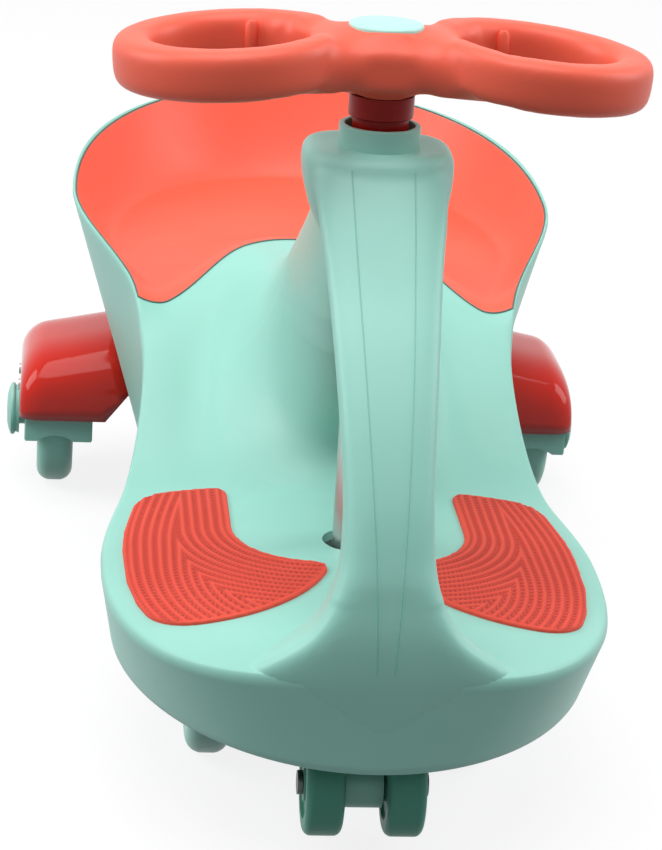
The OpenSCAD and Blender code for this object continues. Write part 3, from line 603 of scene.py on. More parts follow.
def add_piece(name, bm, body, finish, *nodes, sharp=40):
    """Makes the finished piece, rides it on its body and hides the CAD nodes that it stands for."""
    mesh = bpy.data.meshes.new(name)
    bm.to_mesh(mesh)
    bm.free()
    mesh.shade_smooth()
    mesh.set_sharp_from_angle(angle=math.radians(sharp))
    piece = bpy.data.objects.new(name, mesh)
    bpy.context.scene.collection.objects.link(piece)
    mesh.materials.clear()
    mesh.materials.append(finish)
    if nodes:
        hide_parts(*nodes)
    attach(piece, body)
    return piece


# Materials: sizes of the colour's drift, of rub marks and of drawn lines in millimetres
DRIFT_SIZE = 70
RUB_SIZE = 9
DRAWN_LINE = 1.2


def linear(hex_colour):
    """An sRGB hex colour as linear values."""
    parts = [int(hex_colour[i:i + 2], 16) / 255 for i in (1, 3, 5)]
    return [c / 12.92 if c <= 0.04045 else ((c + 0.055) / 1.055) ** 2.4 for c in parts] + [1.0]


def add_node(tree, kind, settings, **links):
    """Adds a node, sets its properties and input values, and links its inputs."""
    node = tree.nodes.new(kind)
    for key, value in settings.items():
        if key in node.inputs:
            node.inputs[key].default_value = value
        else:
            setattr(node, key, value)
    for key, socket in links.items():
        tree.links.new(socket, node.inputs[key.replace("_", " ")])
    return node


def new_material(name, surface):
    """An empty material with its shader and its place on the piece, the latter in metres."""
    material = bpy.data.materials.new(name)
    material.use_nodes = True
    tree = material.node_tree
    tree.nodes.clear()
    shader = add_node(tree, "ShaderNodeBsdfPrincipled", surface)
    add_node(tree, "ShaderNodeOutputMaterial", {}, Surface=shader.outputs["BSDF"])
    place = add_node(tree, "ShaderNodeTexCoord", {}).outputs["Object"]
    return material, tree, shader, place


def moulded_plastic(name, colour, shade, roughness, grain, relief, surface):
    """Plastic from a mould: an even colour that drifts a little, an eroded grain, faint rub marks.

    Grain and relief are in millimetres; the grain is coarser than a real mould's, so that it shows.
    """
    material, tree, shader, place = new_material(name, surface)
    cloud = add_node(tree, "ShaderNodeTexNoise", {"Scale": 1 / (DRIFT_SIZE * MM), "Detail": 2.0},
                     Vector=place)
    tint = add_node(tree, "ShaderNodeValToRGB", {}, Fac=cloud.outputs["Fac"])
    tint.color_ramp.elements[0].position = 0.3
    tint.color_ramp.elements[0].color = linear(shade)
    tint.color_ramp.elements[1].position = 0.7
    tint.color_ramp.elements[1].color = linear(colour)
    tree.links.new(tint.outputs["Color"], shader.inputs["Base Color"])
    rub = add_node(tree, "ShaderNodeTexNoise",
                   {"Scale": 1 / (RUB_SIZE * MM), "Detail": 4.0, "Roughness": 0.6}, Vector=place)
    sheen = add_node(tree, "ShaderNodeMapRange", {"To Min": roughness - 0.05, "To Max": roughness + 0.05},
                     Value=rub.outputs["Fac"])
    tree.links.new(sheen.outputs["Result"], shader.inputs["Roughness"])
    fine = add_node(tree, "ShaderNodeTexNoise", {"Scale": 1 / (grain * MM), "Detail": 2.0}, Vector=place)
    bump = add_node(tree, "ShaderNodeBump", {"Strength": 0.5, "Distance": relief * MM},
                    Height=fine.outputs["Fac"])
    tree.links.new(bump.outputs["Normal"], shader.inputs["Normal"])
    return material


def shade_valleys(material, colour):
    """Darkens the valleys of a relief as painted shade; 6 and 7 are the mix node's colours."""
    tree = material.node_tree
    colour_input = next(n for n in tree.nodes if n.type == "BSDF_PRINCIPLED").inputs["Base Color"]
    valley = add_node(tree, "ShaderNodeAttribute", {"attribute_name": "valley"})
    painted_shade_mix = add_node(tree, "ShaderNodeMix", {"data_type": "RGBA"})
    tree.links.new(valley.outputs["Fac"], painted_shade_mix.inputs[0])
    tree.links.new(colour_input.links[0].from_socket, painted_shade_mix.inputs[6])
    painted_shade_mix.inputs[7].default_value = linear(colour)
    tree.links.new(painted_shade_mix.outputs[2], colour_input)


def plated_steel(name, colour, roughness, stretch):
    """Zinc-plated steel: grey metal with drawn lines and patches of duller plating."""
    material, tree, shader, place = new_material(name, {"Metallic": 1.0, "Base Color": linear(colour)})
    lines = add_node(tree, "ShaderNodeMapping", {"Scale": stretch}, Vector=place)
    drawn = add_node(tree, "ShaderNodeTexNoise", {"Scale": 1 / (DRAWN_LINE * MM), "Detail": 3.0},
                     Vector=lines.outputs["Vector"])
    dull = add_node(tree, "ShaderNodeMapRange", {"To Min": roughness - 0.08, "To Max": roughness + 0.1},
                    Value=drawn.outputs["Fac"])
    tree.links.new(dull.outputs["Result"], shader.inputs["Roughness"])
    bump = add_node(tree, "ShaderNodeBump", {"Strength": 0.25, "Distance": 0.03 * MM},
                    Height=drawn.outputs["Fac"])
    tree.links.new(bump.outputs["Normal"], shader.inputs["Normal"])
    return material


# Body and brackets: moulded polypropylene, satin, with broad soft highlights
SATIN = {"IOR": 1.49, "Specular IOR Level": 0.42}
DULL = {"IOR": 1.49, "Specular IOR Level": 0.2}
mint = moulded_plastic("moulded_polypropylene_mint", "#9ad6c9", "#95d2c4", 0.42, 1.1, 0.03, SATIN)
# Disc on the steering wheel's hub: the same plastic, paler and smoother
pale_mint = moulded_plastic("moulded_polypropylene_pale_mint", "#b6ebe0", "#b0e6da", 0.36, 1.1, 0.02, SATIN)
# Parting groove in the body: the same plastic, darker as painted shade of the groove's recess
groove_painted_shade = moulded_plastic("moulded_polypropylene_groove_painted_shade", "#86c7b8", "#80c1b2", 0.6, 1.1, 0.02, SATIN)
# Gap round the seat: the body's plastic in deep shade
gap_shade = moulded_plastic("moulded_polypropylene_in_shade", "#5f6f68", "#586861", 0.7, 1.1, 0.02, SATIN)
# Seat and steering wheel: moulded polypropylene, satin coral
coral = moulded_plastic("moulded_polypropylene_coral", "#f6664d", "#f26148", 0.44, 1.1, 0.03, SATIN)
# Steering neck: the coral polypropylene, deep red as painted shade under the steering wheel
coral_painted_shade = moulded_plastic("moulded_polypropylene_coral_painted_shade", "#9c150b", "#921209", 0.36, 1.0, 0.02, DULL)
# Fenders: moulded ABS from a polished mould, glossy with sharp reflections
gloss_red = moulded_plastic("moulded_abs_gloss_red", "#da2210", "#d11f0e", 0.09, 2.5, 0.01,
                            {"IOR": 1.5, "Specular IOR Level": 0.25})
# Foot pads: thermoplastic rubber, dull, with a matt tooth
pad_rubber = moulded_plastic("thermoplastic_rubber_coral", "#e8503d", "#e04936", 0.66, 0.9, 0.06, SATIN)
# Painted shade: the pads' valleys are darkened towards this red
shade_valleys(pad_rubber, "#a3271b")
# Tyres and guard wheels: cast polyurethane, even and smooth; the guard wheels take a darker copy as painted
# shade under the body
tyre_mint = moulded_plastic("cast_polyurethane_mint", "#a2e3d3", "#9adbcb", 0.4, 1.4, 0.04, SATIN)
guard_mint_painted_shade = moulded_plastic("cast_polyurethane_mint_painted_shade", "#62ad98", "#5ca591", 0.45, 1.4, 0.04, DULL)
# Wheel cores: moulded nylon, dull, in a mint darker than the body's, deepened further as painted shade
core_mint_painted_shade = moulded_plastic("moulded_nylon_mint_painted_shade", "#5fa893", "#59a08c", 0.5, 1.2, 0.04, DULL)
# Bushes: moulded acetal, dark and slippery
bush_grey = moulded_plastic("moulded_acetal_grey", "#3c4442", "#363d3b", 0.4, 1.2, 0.02, {"IOR": 1.48})
# Tube, axles, bearings and screws: zinc-plated steel with drawn lines along the tube
steel = plated_steel("zinc_plated_steel", "#b4bab8", 0.34, (1.0, 1.0, 0.12))
# Nuts, guard axle and clips: the plated steel made darker, as painted shade where they sit in the shadow of
# the body and fenders
steel_in_painted_shade = plated_steel("plated_steel_painted_shade", "#5c6362", 0.42, (0.3, 1.0, 1.0))


# Body

def tub_rings():
    """Outlines of the tub from its lower edge over the rounded rim to the spine."""
    belt = belt_plan(0)
    skirt = skirt_plan(0)
    rings = [wall_ring(belt, skirt, share, EDGE_ROUND) for share in WALL_SHARES]
    rings += [[on_top(inward(p, share), drop) for p in belt] for share, drop in EDGE_ROWS]
    last = TOP_SHARES[-1]
    shares = list(TOP_SHARES) + [last + (1 - last) * i / TOP_STEPS for i in range(1, TOP_STEPS + 1)]
    return rings + [[on_top(inward(p, share), 0) for p in belt] for share in shares]


def tub_form():
    """The tub as a solid: skirt, rounded edge, deck, saddle and seat bowl."""
    bm = bmesh.new()
    loft(bm, tub_rings())
    clean(bm)
    fill_ends(bm)
    return bm


def pillar_form(rows, steps, ring_of):
    bm = bmesh.new()
    loft(bm, [ring_of(row) for row in refined(rows, steps)])
    fill_ends(bm)
    return bm


def pillar_z(share):
    return mix(DECK_Z, PILLAR_Z, share)


def fin_ring(row):
    half = row[3] * PILLAR_WIDTH / 2
    return oval(row[1] * FIN_FOOT_Y, row[2] * FIN_BACK_Y, half, pillar_z(row[0]), FIN_POWER)


def round_front(x, half, exponent):
    """How far forward a rounded front reaches, from 0 at its side to 1 in the middle."""
    return power(1 - power(abs(x) / half, exponent), 1 / exponent)


def nose_y(x, z):
    """Where the tub's front wall stands, at a place to the side of the middle."""
    belt_share = round_front(x, BELT_HALF[0], FRONT_POWER)
    belt = LOBE_Y - (LOBE_Y - NOSE_Y) * belt_share
    skirt_share = round_front(x, SKIRT_HALF[0], SKIRT_FRONT_POWER)
    skirt = SKIRT_LOBE_Y - (SKIRT_LOBE_Y - SKIRT_NOSE_Y) * skirt_share
    edge_z = DECK_Z - EDGE_ROUND
    return mix(belt, skirt, clamp01((edge_z - z) / (edge_z - SKIRT_Z)))


def band_ring(row):
    """Outline of the band; its foot follows the tub's front wall, so the deck's edge sweeps up into it."""
    front = row[1] * NOSE_Y
    half = row[3] * PILLAR_WIDTH / 2
    z = pillar_z(row[0])
    at_foot = 1 - smooth(row[0] / BAND_FOOT_SHARE)
    roundness = mix(BAND_POWER, BAND_FOOT_POWER, at_foot)
    ring = oval(front, front - row[2] * NOSE_Y, half, z, roundness, BAND_TAPER)
    following = ring[1:] + ring[:1]
    fine = [a.lerp(b, k / BAND_FINE_STEPS) for a, b in zip(ring, following) for k in range(BAND_FINE_STEPS)]
    middle = nose_y(0, z)
    return [p + Vector((0, at_foot * (nose_y(p.x / MM, z) - middle), 0)) * MM for p in fine]


def head_ring(row):
    half = row[3] * PILLAR_WIDTH / 2
    return oval(-row[1] * NOSE_Y, -row[2] * NOSE_Y, half, pillar_z(row[0]), HEAD_POWER)


def bore_deck(bm):
    """Opens the deck round the steering tube and turns the edge of the hole down."""
    axis = point(0, 0, DECK_Z)
    around = [f for f in bm.faces if (f.calc_center_median() - axis).length < 1.5 * DECK_HOLE_R * MM]
    bmesh.ops.delete(bm, geom=around, context="FACES")
    open_edges = [e for e in bm.edges if e.is_boundary]
    border = [e for e in open_edges if (e.verts[0].co - axis).length < 4 * DECK_HOLE_R * MM]
    ring = bmesh.ops.create_circle(bm, segments=ROUND_STEPS, radius=DECK_HOLE_R * MM)["verts"]
    bmesh.ops.translate(bm, vec=axis, verts=ring)
    lip = edges_of(ring)
    bmesh.ops.bridge_loops(bm, edges=border + lip)
    down = bmesh.ops.extrude_edge_only(bm, edges=lip)["geom"]
    bmesh.ops.translate(bm, vec=(0, 0, -HOLE_LIP_DEPTH * MM), verts=verts_of(down))


def tub_skin():
    """Outer side of the tub with its rounded lower lip."""
    bm = bmesh.new()
    lip = [[point(x, y, SKIRT_Z + rise) for x, y in skirt_plan(inset)]
           for inset, rise in ((BODY_WALL, 0.2), (1.2, 0), (0.3, 0.3))]
    loft(bm, lip + tub_rings())
    clean(bm)
    bore_deck(bm)
    bmesh.ops.recalc_face_normals(bm, faces=bm.faces)
    add_piece("body_skin", bm, "chassis", mint, "body_shell", sharp=50)


def eased_feet(bm, leg_trees):
    """Smooths the feet of the arch further, less and less with the distance from the arch."""
    for low, high, passes in FOOT_BOXES:
        low = point(*low)
        high = point(*high)
        foot = [v for v in bm.verts if all(low[i] < v.co[i] < high[i] for i in range(3))]
        before = [v.co.copy() for v in foot]
        relax(bm, foot, passes)
        for vert, place in zip(foot, before):
            away = min(tree.find_nearest(place)[3] for tree in leg_trees) / MM
            vert.co = vert.co.lerp(place, smooth((away - EASED_NEAR) / (EASED_FAR - EASED_NEAR)))


def pillar_skin(tub_tree):
    """The arch over the deck: band, head and rear leg, run into the tub with soft inner corners."""
    near_tub = tub_form()
    for place, away in TUB_CUTS:
        cut(near_tub, point(*place), Vector(away))
        fill_ends(near_tub)
    for vert in near_tub.verts:
        ahead = NOSE_Y + DRAWN_IN_REACH - (vert.co.y / MM - AXIS_Y)
        vert.co.y += DRAWN_IN_SHARE * DRAWN_IN_REACH * smooth(ahead / DRAWN_IN_REACH) * MM
    legs = [pillar_form(FIN_ROWS, steps=5, ring_of=fin_ring),
            pillar_form(BAND_ROWS, steps=5, ring_of=band_ring),
            pillar_form(HEAD_ROWS, steps=4, ring_of=head_ring)]
    leg_trees = [tree_of(leg) for leg in legs]
    bm = fused([near_tub] + legs, cell=1.7, passes=2, blend_reach=16, blend_passes=110, overlap=0.3)
    eased_feet(bm, leg_trees)
    rise = {}
    for vert in bm.verts:
        near, normal = tub_tree.find_nearest(vert.co)[:2]
        rise[vert] = (vert.co - near).dot(normal)
    standing = {v for v in bm.verts if rise[v] > ARCH_LEAST_RISE * MM
                and any(tree.find_nearest(v.co, ARCH_REACH * MM)[0] is not None for tree in leg_trees)}
    sunk = [f for f in bm.faces if not any(v in standing for v in f.verts)]
    bmesh.ops.delete(bm, geom=sunk, context="FACES")
    for vert in [v for v in bm.verts if v.is_boundary]:
        near, normal = tub_tree.find_nearest(vert.co)[:2]
        vert.co = near - normal * ARCH_TUCKED_IN * MM
    bm.normal_update()
    skin_tree = BVHTree.FromBMesh(bm)
    add_piece("pillar_skin", bm, "chassis", mint, sharp=60)
    return skin_tree


def body_lining():
    """Inner side of the moulding, with the boss, ribs and mounting blocks that show from below."""
    bm = bmesh.new()
    belt = belt_plan(BODY_WALL)
    skirt = skirt_plan(BODY_WALL)
    rings = [wall_ring(belt, skirt, share, TOP_WALL) for share in LINING_WALL_SHARES]
    rings += [[on_top(inward(p, share), TOP_WALL) for p in belt] for share in LINING_TOP_SHARES]
    loft(bm, rings)
    clean(bm)
    bmesh.ops.reverse_faces(bm, faces=bm.faces)
    add_piece("body_lining", bm, "chassis", mint)

    bm = bmesh.new()
    profile = [(DECK_HOLE_R, BOSS_BOTTOM), (BOSS_R - 1, BOSS_BOTTOM), (BOSS_R, BOSS_BOTTOM + 1),
               (BOSS_R, DECK_Z - 5), (DECK_HOLE_R, DECK_Z - 5), (DECK_HOLE_R, BOSS_BOTTOM)]
    lathe(bm, profile, point(0, 0, 0), UPRIGHT)
    add_piece("deck_boss", bm, "chassis", mint)

    bm = bmesh.new()
    for i in range(RIB_COUNT):
        rib = bmesh.new()
        box_form(rib, (BOSS_R - 2, -RIB_HALF, RIB_BOTTOM), (RIB_END, RIB_HALF, DECK_Z - RIB_SINK), 0.6)
        turn = Matrix.Rotation(math.radians(360 / RIB_COUNT * (i + 0.5)), 3, "Z")
        bmesh.ops.rotate(rib, cent=point(0, 0, 0), matrix=turn, verts=rib.verts)
        for vert in rib.verts:
            if vert.co.z > (RIB_BOTTOM + DECK_Z) / 2 * MM:
                vert.co.z = (top_z(vert.co.x / MM, vert.co.y / MM - AXIS_Y) - RIB_SINK) * MM
        part = bpy.data.meshes.new("rib")
        rib.to_mesh(part)
        rib.free()
        bm.from_mesh(part)
        bpy.data.meshes.remove(part)
    for side in (-1, 1):
        low_x, high_x = sorted(side * x for x in BLOCK_X)
        low = (low_x, REAR_Y - BLOCK_HALF, BLOCK_Z[0])
        high = (high_x, REAR_Y + BLOCK_HALF, BLOCK_Z[1])
        box_form(bm, low, high, 1.5)
    clean(bm)
    add_piece("deck_ribs_and_blocks", bm, "chassis", mint)


def collar():
    bm = bmesh.new()
    profile = ([(COLLAR_BORE_R, PILLAR_Z - 6), (COLLAR_R, PILLAR_Z - 6)]
               + arc(COLLAR_R - 1, COLLAR_TOP - 1, 1, 0, 90, 4)
               + arc(COLLAR_BORE_R + 0.6, COLLAR_TOP - 0.6, 0.6, 90, 180, 4)
               + [(COLLAR_BORE_R, PILLAR_Z - 6)])
    lathe(bm, profile, point(0, 0, 0), UPRIGHT)
    add_piece("pillar_collar", bm, "chassis", mint)


def band_grooves(skin_tree):
    """Two thin lines that run down the pillar's front and close in on each other, darker as painted shade
    of the grooves.
    """
    bm = bmesh.new()
    for side in (-1, 1):
        path = []
        for i in range(GROOVE_STEPS + 1):
            t = i / GROOVE_STEPS
            z = mix(*GROOVE_Z, t)
            x = side * mix(*GROOVE_X, smooth(t) * GROOVE_BEND + t * (1 - GROOVE_BEND))
            hit = skin_tree.ray_cast(point(x, -400, z), Vector((0, 1, 0)))[0]
            if hit is not None:
                path.append(hit)
        turns = [2 * math.pi * k / LINE_SIDES for k in range(LINE_SIDES)]
        round_line = [Vector((math.cos(a), math.sin(a), 0)) * GROOVE_R * MM for a in turns]
        loft(bm, [[place + aside for aside in round_line] for place in path])
    fill_ends(bm)
    add_piece("pillar_grooves", bm, "chassis", groove_painted_shade)


# Seat

def seat_point(p, share):
    t = (p[1] - SEAT_CORNER_Y) / (TAIL_Y - SEAT_CORNER_Y)
    x = p[0] * (1 - share)
    middle = mix(SEAT_CORNER_Y + SEAT_WAVE, SEAT_BACK_Y, t)
    bend = (wave(x) - SEAT_WAVE * share) * (1 - t) ** SEAT_WAVE_FADE
    return x, mix(p[1], middle, share) + bend


def seat():
    """Coral tray in the bowl, with a turned-down edge that rounds over."""
    bm = bmesh.new()
    sides = [mix(SEAT_CORNER_Y, HIP_Y, i / SEAT_SIDE_STEPS) for i in range(SEAT_SIDE_STEPS)]
    right = [(side_x(y, BELT_HALF), y) for y in sides]
    right += tail_curve(BELT_HALF[2], TAIL_Y, SEAT_TAIL_STEPS)
    row = right + [(-x, y) for x, y in reversed(right[:-1])]
    last = SEAT_EDGE_SHARES[-1]
    shares = list(SEAT_EDGE_SHARES) + [last + (1 - last) * i / SEAT_STEPS for i in range(1, SEAT_STEPS + 1)]
    loft(bm, [[on_top(seat_point(p, share), -SEAT_LIFT) for p in row] for share in shares], closed=False)
    clean(bm)
    if sum(f.normal.z for f in bm.faces) < 0:
        bmesh.ops.reverse_faces(bm, faces=bm.faces)
    border = [e for e in bm.edges if e.is_boundary]
    made = bmesh.ops.extrude_edge_only(bm, edges=border)["geom"]
    bmesh.ops.translate(bm, vec=(0, 0, -SEAT_EDGE_DROP * MM), verts=verts_of(made))
    rounded(bm, border, SEAT_EDGE_BEVEL, 3, clamp=True)
    add_piece("seat_tray", bm, "chassis", coral, "seat_insert")
    seat_gap(row)


def seat_gap(row):
    """The narrow gap between the tray and the body, drawn as a fine dark line."""
    bm = bmesh.new()
    path = [seat_point(p, GAP_SHARE) for p in row]
    inner = [GAP_SHARE + (1 - GAP_SHARE) * i / GAP_STEPS for i in range(1, GAP_STEPS + 1)]
    path += [seat_point(row[-1], share) for share in inner]
    path += [seat_point(row[0], share) for share in reversed(inner[:-1])]
    places = [on_top(p, -GAP_LIFT) for p in path]
    up = Vector((0, 0, GAP_R * MM))
    turns = [2 * math.pi * k / LINE_SIDES for k in range(LINE_SIDES)]
    rings = []
    for i in range(len(places) + 1):
        before, place, after = (places[(i + step) % len(places)] for step in (-1, 0, 1))
        aside = (after - before).cross(up).normalized() * up.z
        rings.append([place + aside * math.cos(a) + up * math.sin(a) for a in turns])
    loft(bm, rings)
    clean(bm)
    bmesh.ops.recalc_face_normals(bm, faces=bm.faces)
    add_piece("seat_gap", bm, "chassis", gap_shade)


# Foot pads

def pad_relief(x, y):
    """Height of the ribs and beads on a foot pad in millimetres, and how deep in a valley the place is, for
    its painted shade.
    """
    inner = math.hypot(x, min(y - PAD_INNER_Y, 0)) - PAD_INNER_R
    if y < LOBE_Y:
        reach = ((x / BELT_HALF[0]) ** FRONT_POWER
                 + ((LOBE_Y - y) / (LOBE_Y - NOSE_Y)) ** FRONT_POWER) ** (1 / FRONT_POWER)
        outer = (1 - reach) * math.hypot(x, LOBE_Y - y) / max(reach, 0.01) - PAD_MARGIN
    else:
        outer = side_x(y, BELT_HALF) - x - PAD_MARGIN
    front = PAD_FRONT_R - math.hypot(x - PAD_FRONT_X, min(y - PAD_FRONT_Y, 0))
    border = min(inner, outer, front, PAD_BACK_Y - y)
    turn = math.atan2(y - PAD_INNER_Y, x)
    if inner < outer:
        across = inner
        along = turn * (PAD_INNER_R + PAD_RIB_PITCH * round(inner / PAD_RIB_PITCH))
    else:
        across = outer
        along = turn * (PAD_OUTER_R - PAD_RIB_PITCH * round(outer / PAD_RIB_PITCH))
    rib = 0.5 + 0.5 * math.cos(2 * math.pi * across / PAD_RIB_PITCH)
    bead = (1 - rib) * (0.5 + 0.5 * math.cos(2 * math.pi * along / PAD_BEAD_PITCH))
    field = smooth((border - PAD_PLAIN_EDGE) / PAD_FADE)
    rise = PAD_RIB_RISE * rib + PAD_BEAD_RISE * bead - PAD_SINK
    return rise * field, (1 - max(rib, PAD_BEAD_RISE * bead)) * field


def foot_pads():
    for side, node in ((-1, "foot_pad_left"), (1, "foot_pad_right")):
        bm = fused([copied(node)], cell=0.8, passes=3, blend_reach=0.1, blend_passes=0, overlap=0)
        # How deep each place lies in a valley; the pad's material darkens it by this as painted shade
        valley = bm.verts.layers.float.new("valley")
        for vert in bm.verts:
            if vert.normal.z > PAD_TOP_FACING:
                rise, depth = pad_relief(side * vert.co.x / MM, vert.co.y / MM - AXIS_Y)
                vert.co += vert.normal * rise * MM
                vert[valley] = depth
        add_piece("ribbed_" + node, bm, "chassis", pad_rubber, node, sharp=80)


# Steering wheel

def grip_form(side):
    bm = bmesh.new()
    centre = point(side * GRIP_X, 0, GRIP_Z)
    profile = []
    for i in range(GRIP_STEPS + 1):
        a = 2 * math.pi * i / GRIP_STEPS
        profile.append((GRIP_RING_R + GRIP_HALF_WIDTH * power(math.cos(a), GRIP_SQUARENESS),
                        GRIP_HALF_DEPTH * power(math.sin(a), GRIP_SQUARENESS)))
    lathe(bm, profile, centre, UPRIGHT, 120)
    droop = Matrix.Rotation(side * GRIP_DROOP, 3, "Y")
    bmesh.ops.rotate(bm, cent=centre, matrix=droop, verts=bm.verts)
    return bm


def web_form():
    """Plate between the rings, drawn in at front and back; rows of [rise, inset] round its edges."""
    bm = bmesh.new()
    sunk = WEB_HALF_DEPTH
    rows = ((-sunk, 4), (1.2 - sunk, 1.6), (4 - sunk, 0), (sunk - 4, 0), (sunk - 1.2, 1.6), (sunk, 4))
    rings = []
    for rise, inset in rows:
        right = []
        for i in range(WEB_STEPS + 1):
            a = math.radians(mix(240, 120, i / WEB_STEPS))
            right.append((GRIP_X + WEB_R * math.cos(a), (WEB_R - inset) * math.sin(a)))
        end_x, end_y = right[-1]
        back = []
        for i in range(1, WEB_STEPS):
            x = mix(end_x, -end_x, i / WEB_STEPS)
            back.append((x, mix(WEB_BACK_Y - inset, end_y, (x / end_x) ** 2)))
        outline = right + back + [(-x, -y) for x, y in right] + [(-x, -y) for x, y in back]
        rings.append([point(x, y, GRIP_Z + rise) for x, y in outline])
    loft(bm, rings)
    fill_ends(bm)
    return bm


def hub_form():
    bm = bmesh.new()
    profile = [(0, HUB_BOTTOM), (17.5, HUB_BOTTOM), (19.5, HUB_BOTTOM + 1.5), (22, HUB_BOTTOM + 8),
               (25, HUB_BOTTOM + 17), (26.5, HUB_TOP - 8), (25, HUB_TOP - 2.5), (22, HUB_TOP - 0.3),
               (0, HUB_TOP)]
    lathe(bm, profile, point(0, 0, 0), UPRIGHT)
    return bm


def hole_ribs():
    """Upright rib on the far inner wall of each hand hole."""
    bm = bmesh.new()
    y = HOLE_RIB_R * math.sin(HOLE_RIB_TURN)
    for side in (-1, 1):
        x = side * (GRIP_X + HOLE_RIB_R * math.cos(HOLE_RIB_TURN))
        z = GRIP_Z - (abs(x) - GRIP_X) * math.tan(GRIP_DROOP)
        profile = [(0, -9), (2, -9), (3.2, -7), (3.2, 7), (2, 9), (0, 9)]
        lathe(bm, profile, point(x, y, z), UPRIGHT, 32)
    add_piece("grip_ribs", bm, "steering", coral)


def steering():
    forms = [grip_form(-1), grip_form(1), web_form(), hub_form()]
    bm = fused(forms, cell=1.7, passes=4, blend_reach=14, blend_passes=90, overlap=20)
    add_piece("steering_wheel_skin", bm, "steering", coral, "steering_wheel", sharp=80)
    hole_ribs()

    bm = bmesh.new()
    profile = ([(0, CAP_BOTTOM), (CAP_R, CAP_BOTTOM)]
               + arc(CAP_R - 1.4, CAP_TOP - 2.2, 1.4, 0, 80, 5)
               + [(CAP_R * 0.6, CAP_TOP - 0.25), (0, CAP_TOP)])
    lathe(bm, profile, point(0, 0, 0), UPRIGHT)
    add_piece("hub_disc", bm, "steering", pale_mint, "steering_cap")

    bm = bmesh.new()
    profile = ([(NECK_BORE_R, NECK_BOTTOM), (NECK_R, NECK_BOTTOM), (NECK_R, NECK_STEP_Z - 0.5)]
               + arc(NECK_STEP_R - 0.8, NECK_STEP_Z + 0.8, 0.8, -90, 0, 4)
               + [(NECK_STEP_R, HUB_BOTTOM), (NECK_BORE_R, HUB_BOTTOM), (NECK_BORE_R, NECK_BOTTOM)])
    lathe(bm, profile, point(0, 0, 0), UPRIGHT)
    add_piece("stepped_neck", bm, "steering", coral_painted_shade, "steering_neck")


# Rear fenders

def fender_row(x):
    edge = clamp01((x - FENDER_OUT_X + FENDER_ROUND) / FENDER_ROUND)
    shrink = 1 - math.sqrt(1 - edge * edge)
    top = mix(FENDER_ROOT_TOP, FENDER_EDGE_TOP, (x - FENDER_MOUNT_X) / (FENDER_OUT_X - FENDER_MOUNT_X))
    top -= FENDER_ROUND * shrink
    half = FENDER_HALF - FENDER_ROUND / 2 * shrink
    row = []
    for i in range(FENDER_STEPS + 1):
        a = math.pi * i / FENDER_STEPS
        row.append((REAR_Y + half * power(math.cos(a), 2 / FENDER_POWER),
                    FENDER_BOTTOM + (top - FENDER_BOTTOM) * abs(math.sin(a)) ** (2 / FENDER_POWER)))
    return row


def fenders(tub_tree):
    """Hoods over the rear wheels: they start in the tub's wall and round over at their outer end."""
    last = FENDER_SHARES[-1]
    turns = [math.pi / 2 * i / FENDER_EDGE_STEPS for i in range(1, FENDER_EDGE_STEPS + 1)]
    shares = list(FENDER_SHARES) + [last + (1 - last) * math.sin(a) for a in turns]
    for side, node in ((-1, "fender_left"), (1, "fender_right")):
        bm = bmesh.new()
        starts = []
        for y, z in fender_row(FENDER_MOUNT_X):
            outside = point(side * (FENDER_OUT_X + 80), y, max(z, SKIRT_Z + 1))
            hit = tub_tree.ray_cast(outside, Vector((-side, 0, 0)))[0]
            starts.append(abs(hit.x) / MM - FENDER_SUNK if hit else FENDER_MOUNT_X - 20)
        rings = []
        for share in shares:
            ring = []
            for i, start in enumerate(starts):
                x = mix(start, FENDER_OUT_X, share)
                y, z = fender_row(x)[i]
                ring.append(point(side * x, y, z))
            rings.append(ring)
        last = loft(bm, rings, closed=False)
        bmesh.ops.contextual_create(bm, geom=list(last))
        clean(bm)
        corner = point(side * FENDER_CHAMFER_X, REAR_Y, FENDER_BOTTOM - 1)
        away = Vector((-side * FENDER_CHAMFER_SLOPE, 0, -1)).normalized()
        cut(bm, corner, away)
        piece = add_piece("gloss_" + node, bm, "chassis", gloss_red, node)
        wall = piece.modifiers.new("wall", "SOLIDIFY")
        wall.thickness = FENDER_WALL * MM
        wall.offset = -1


# Wheels and running gear

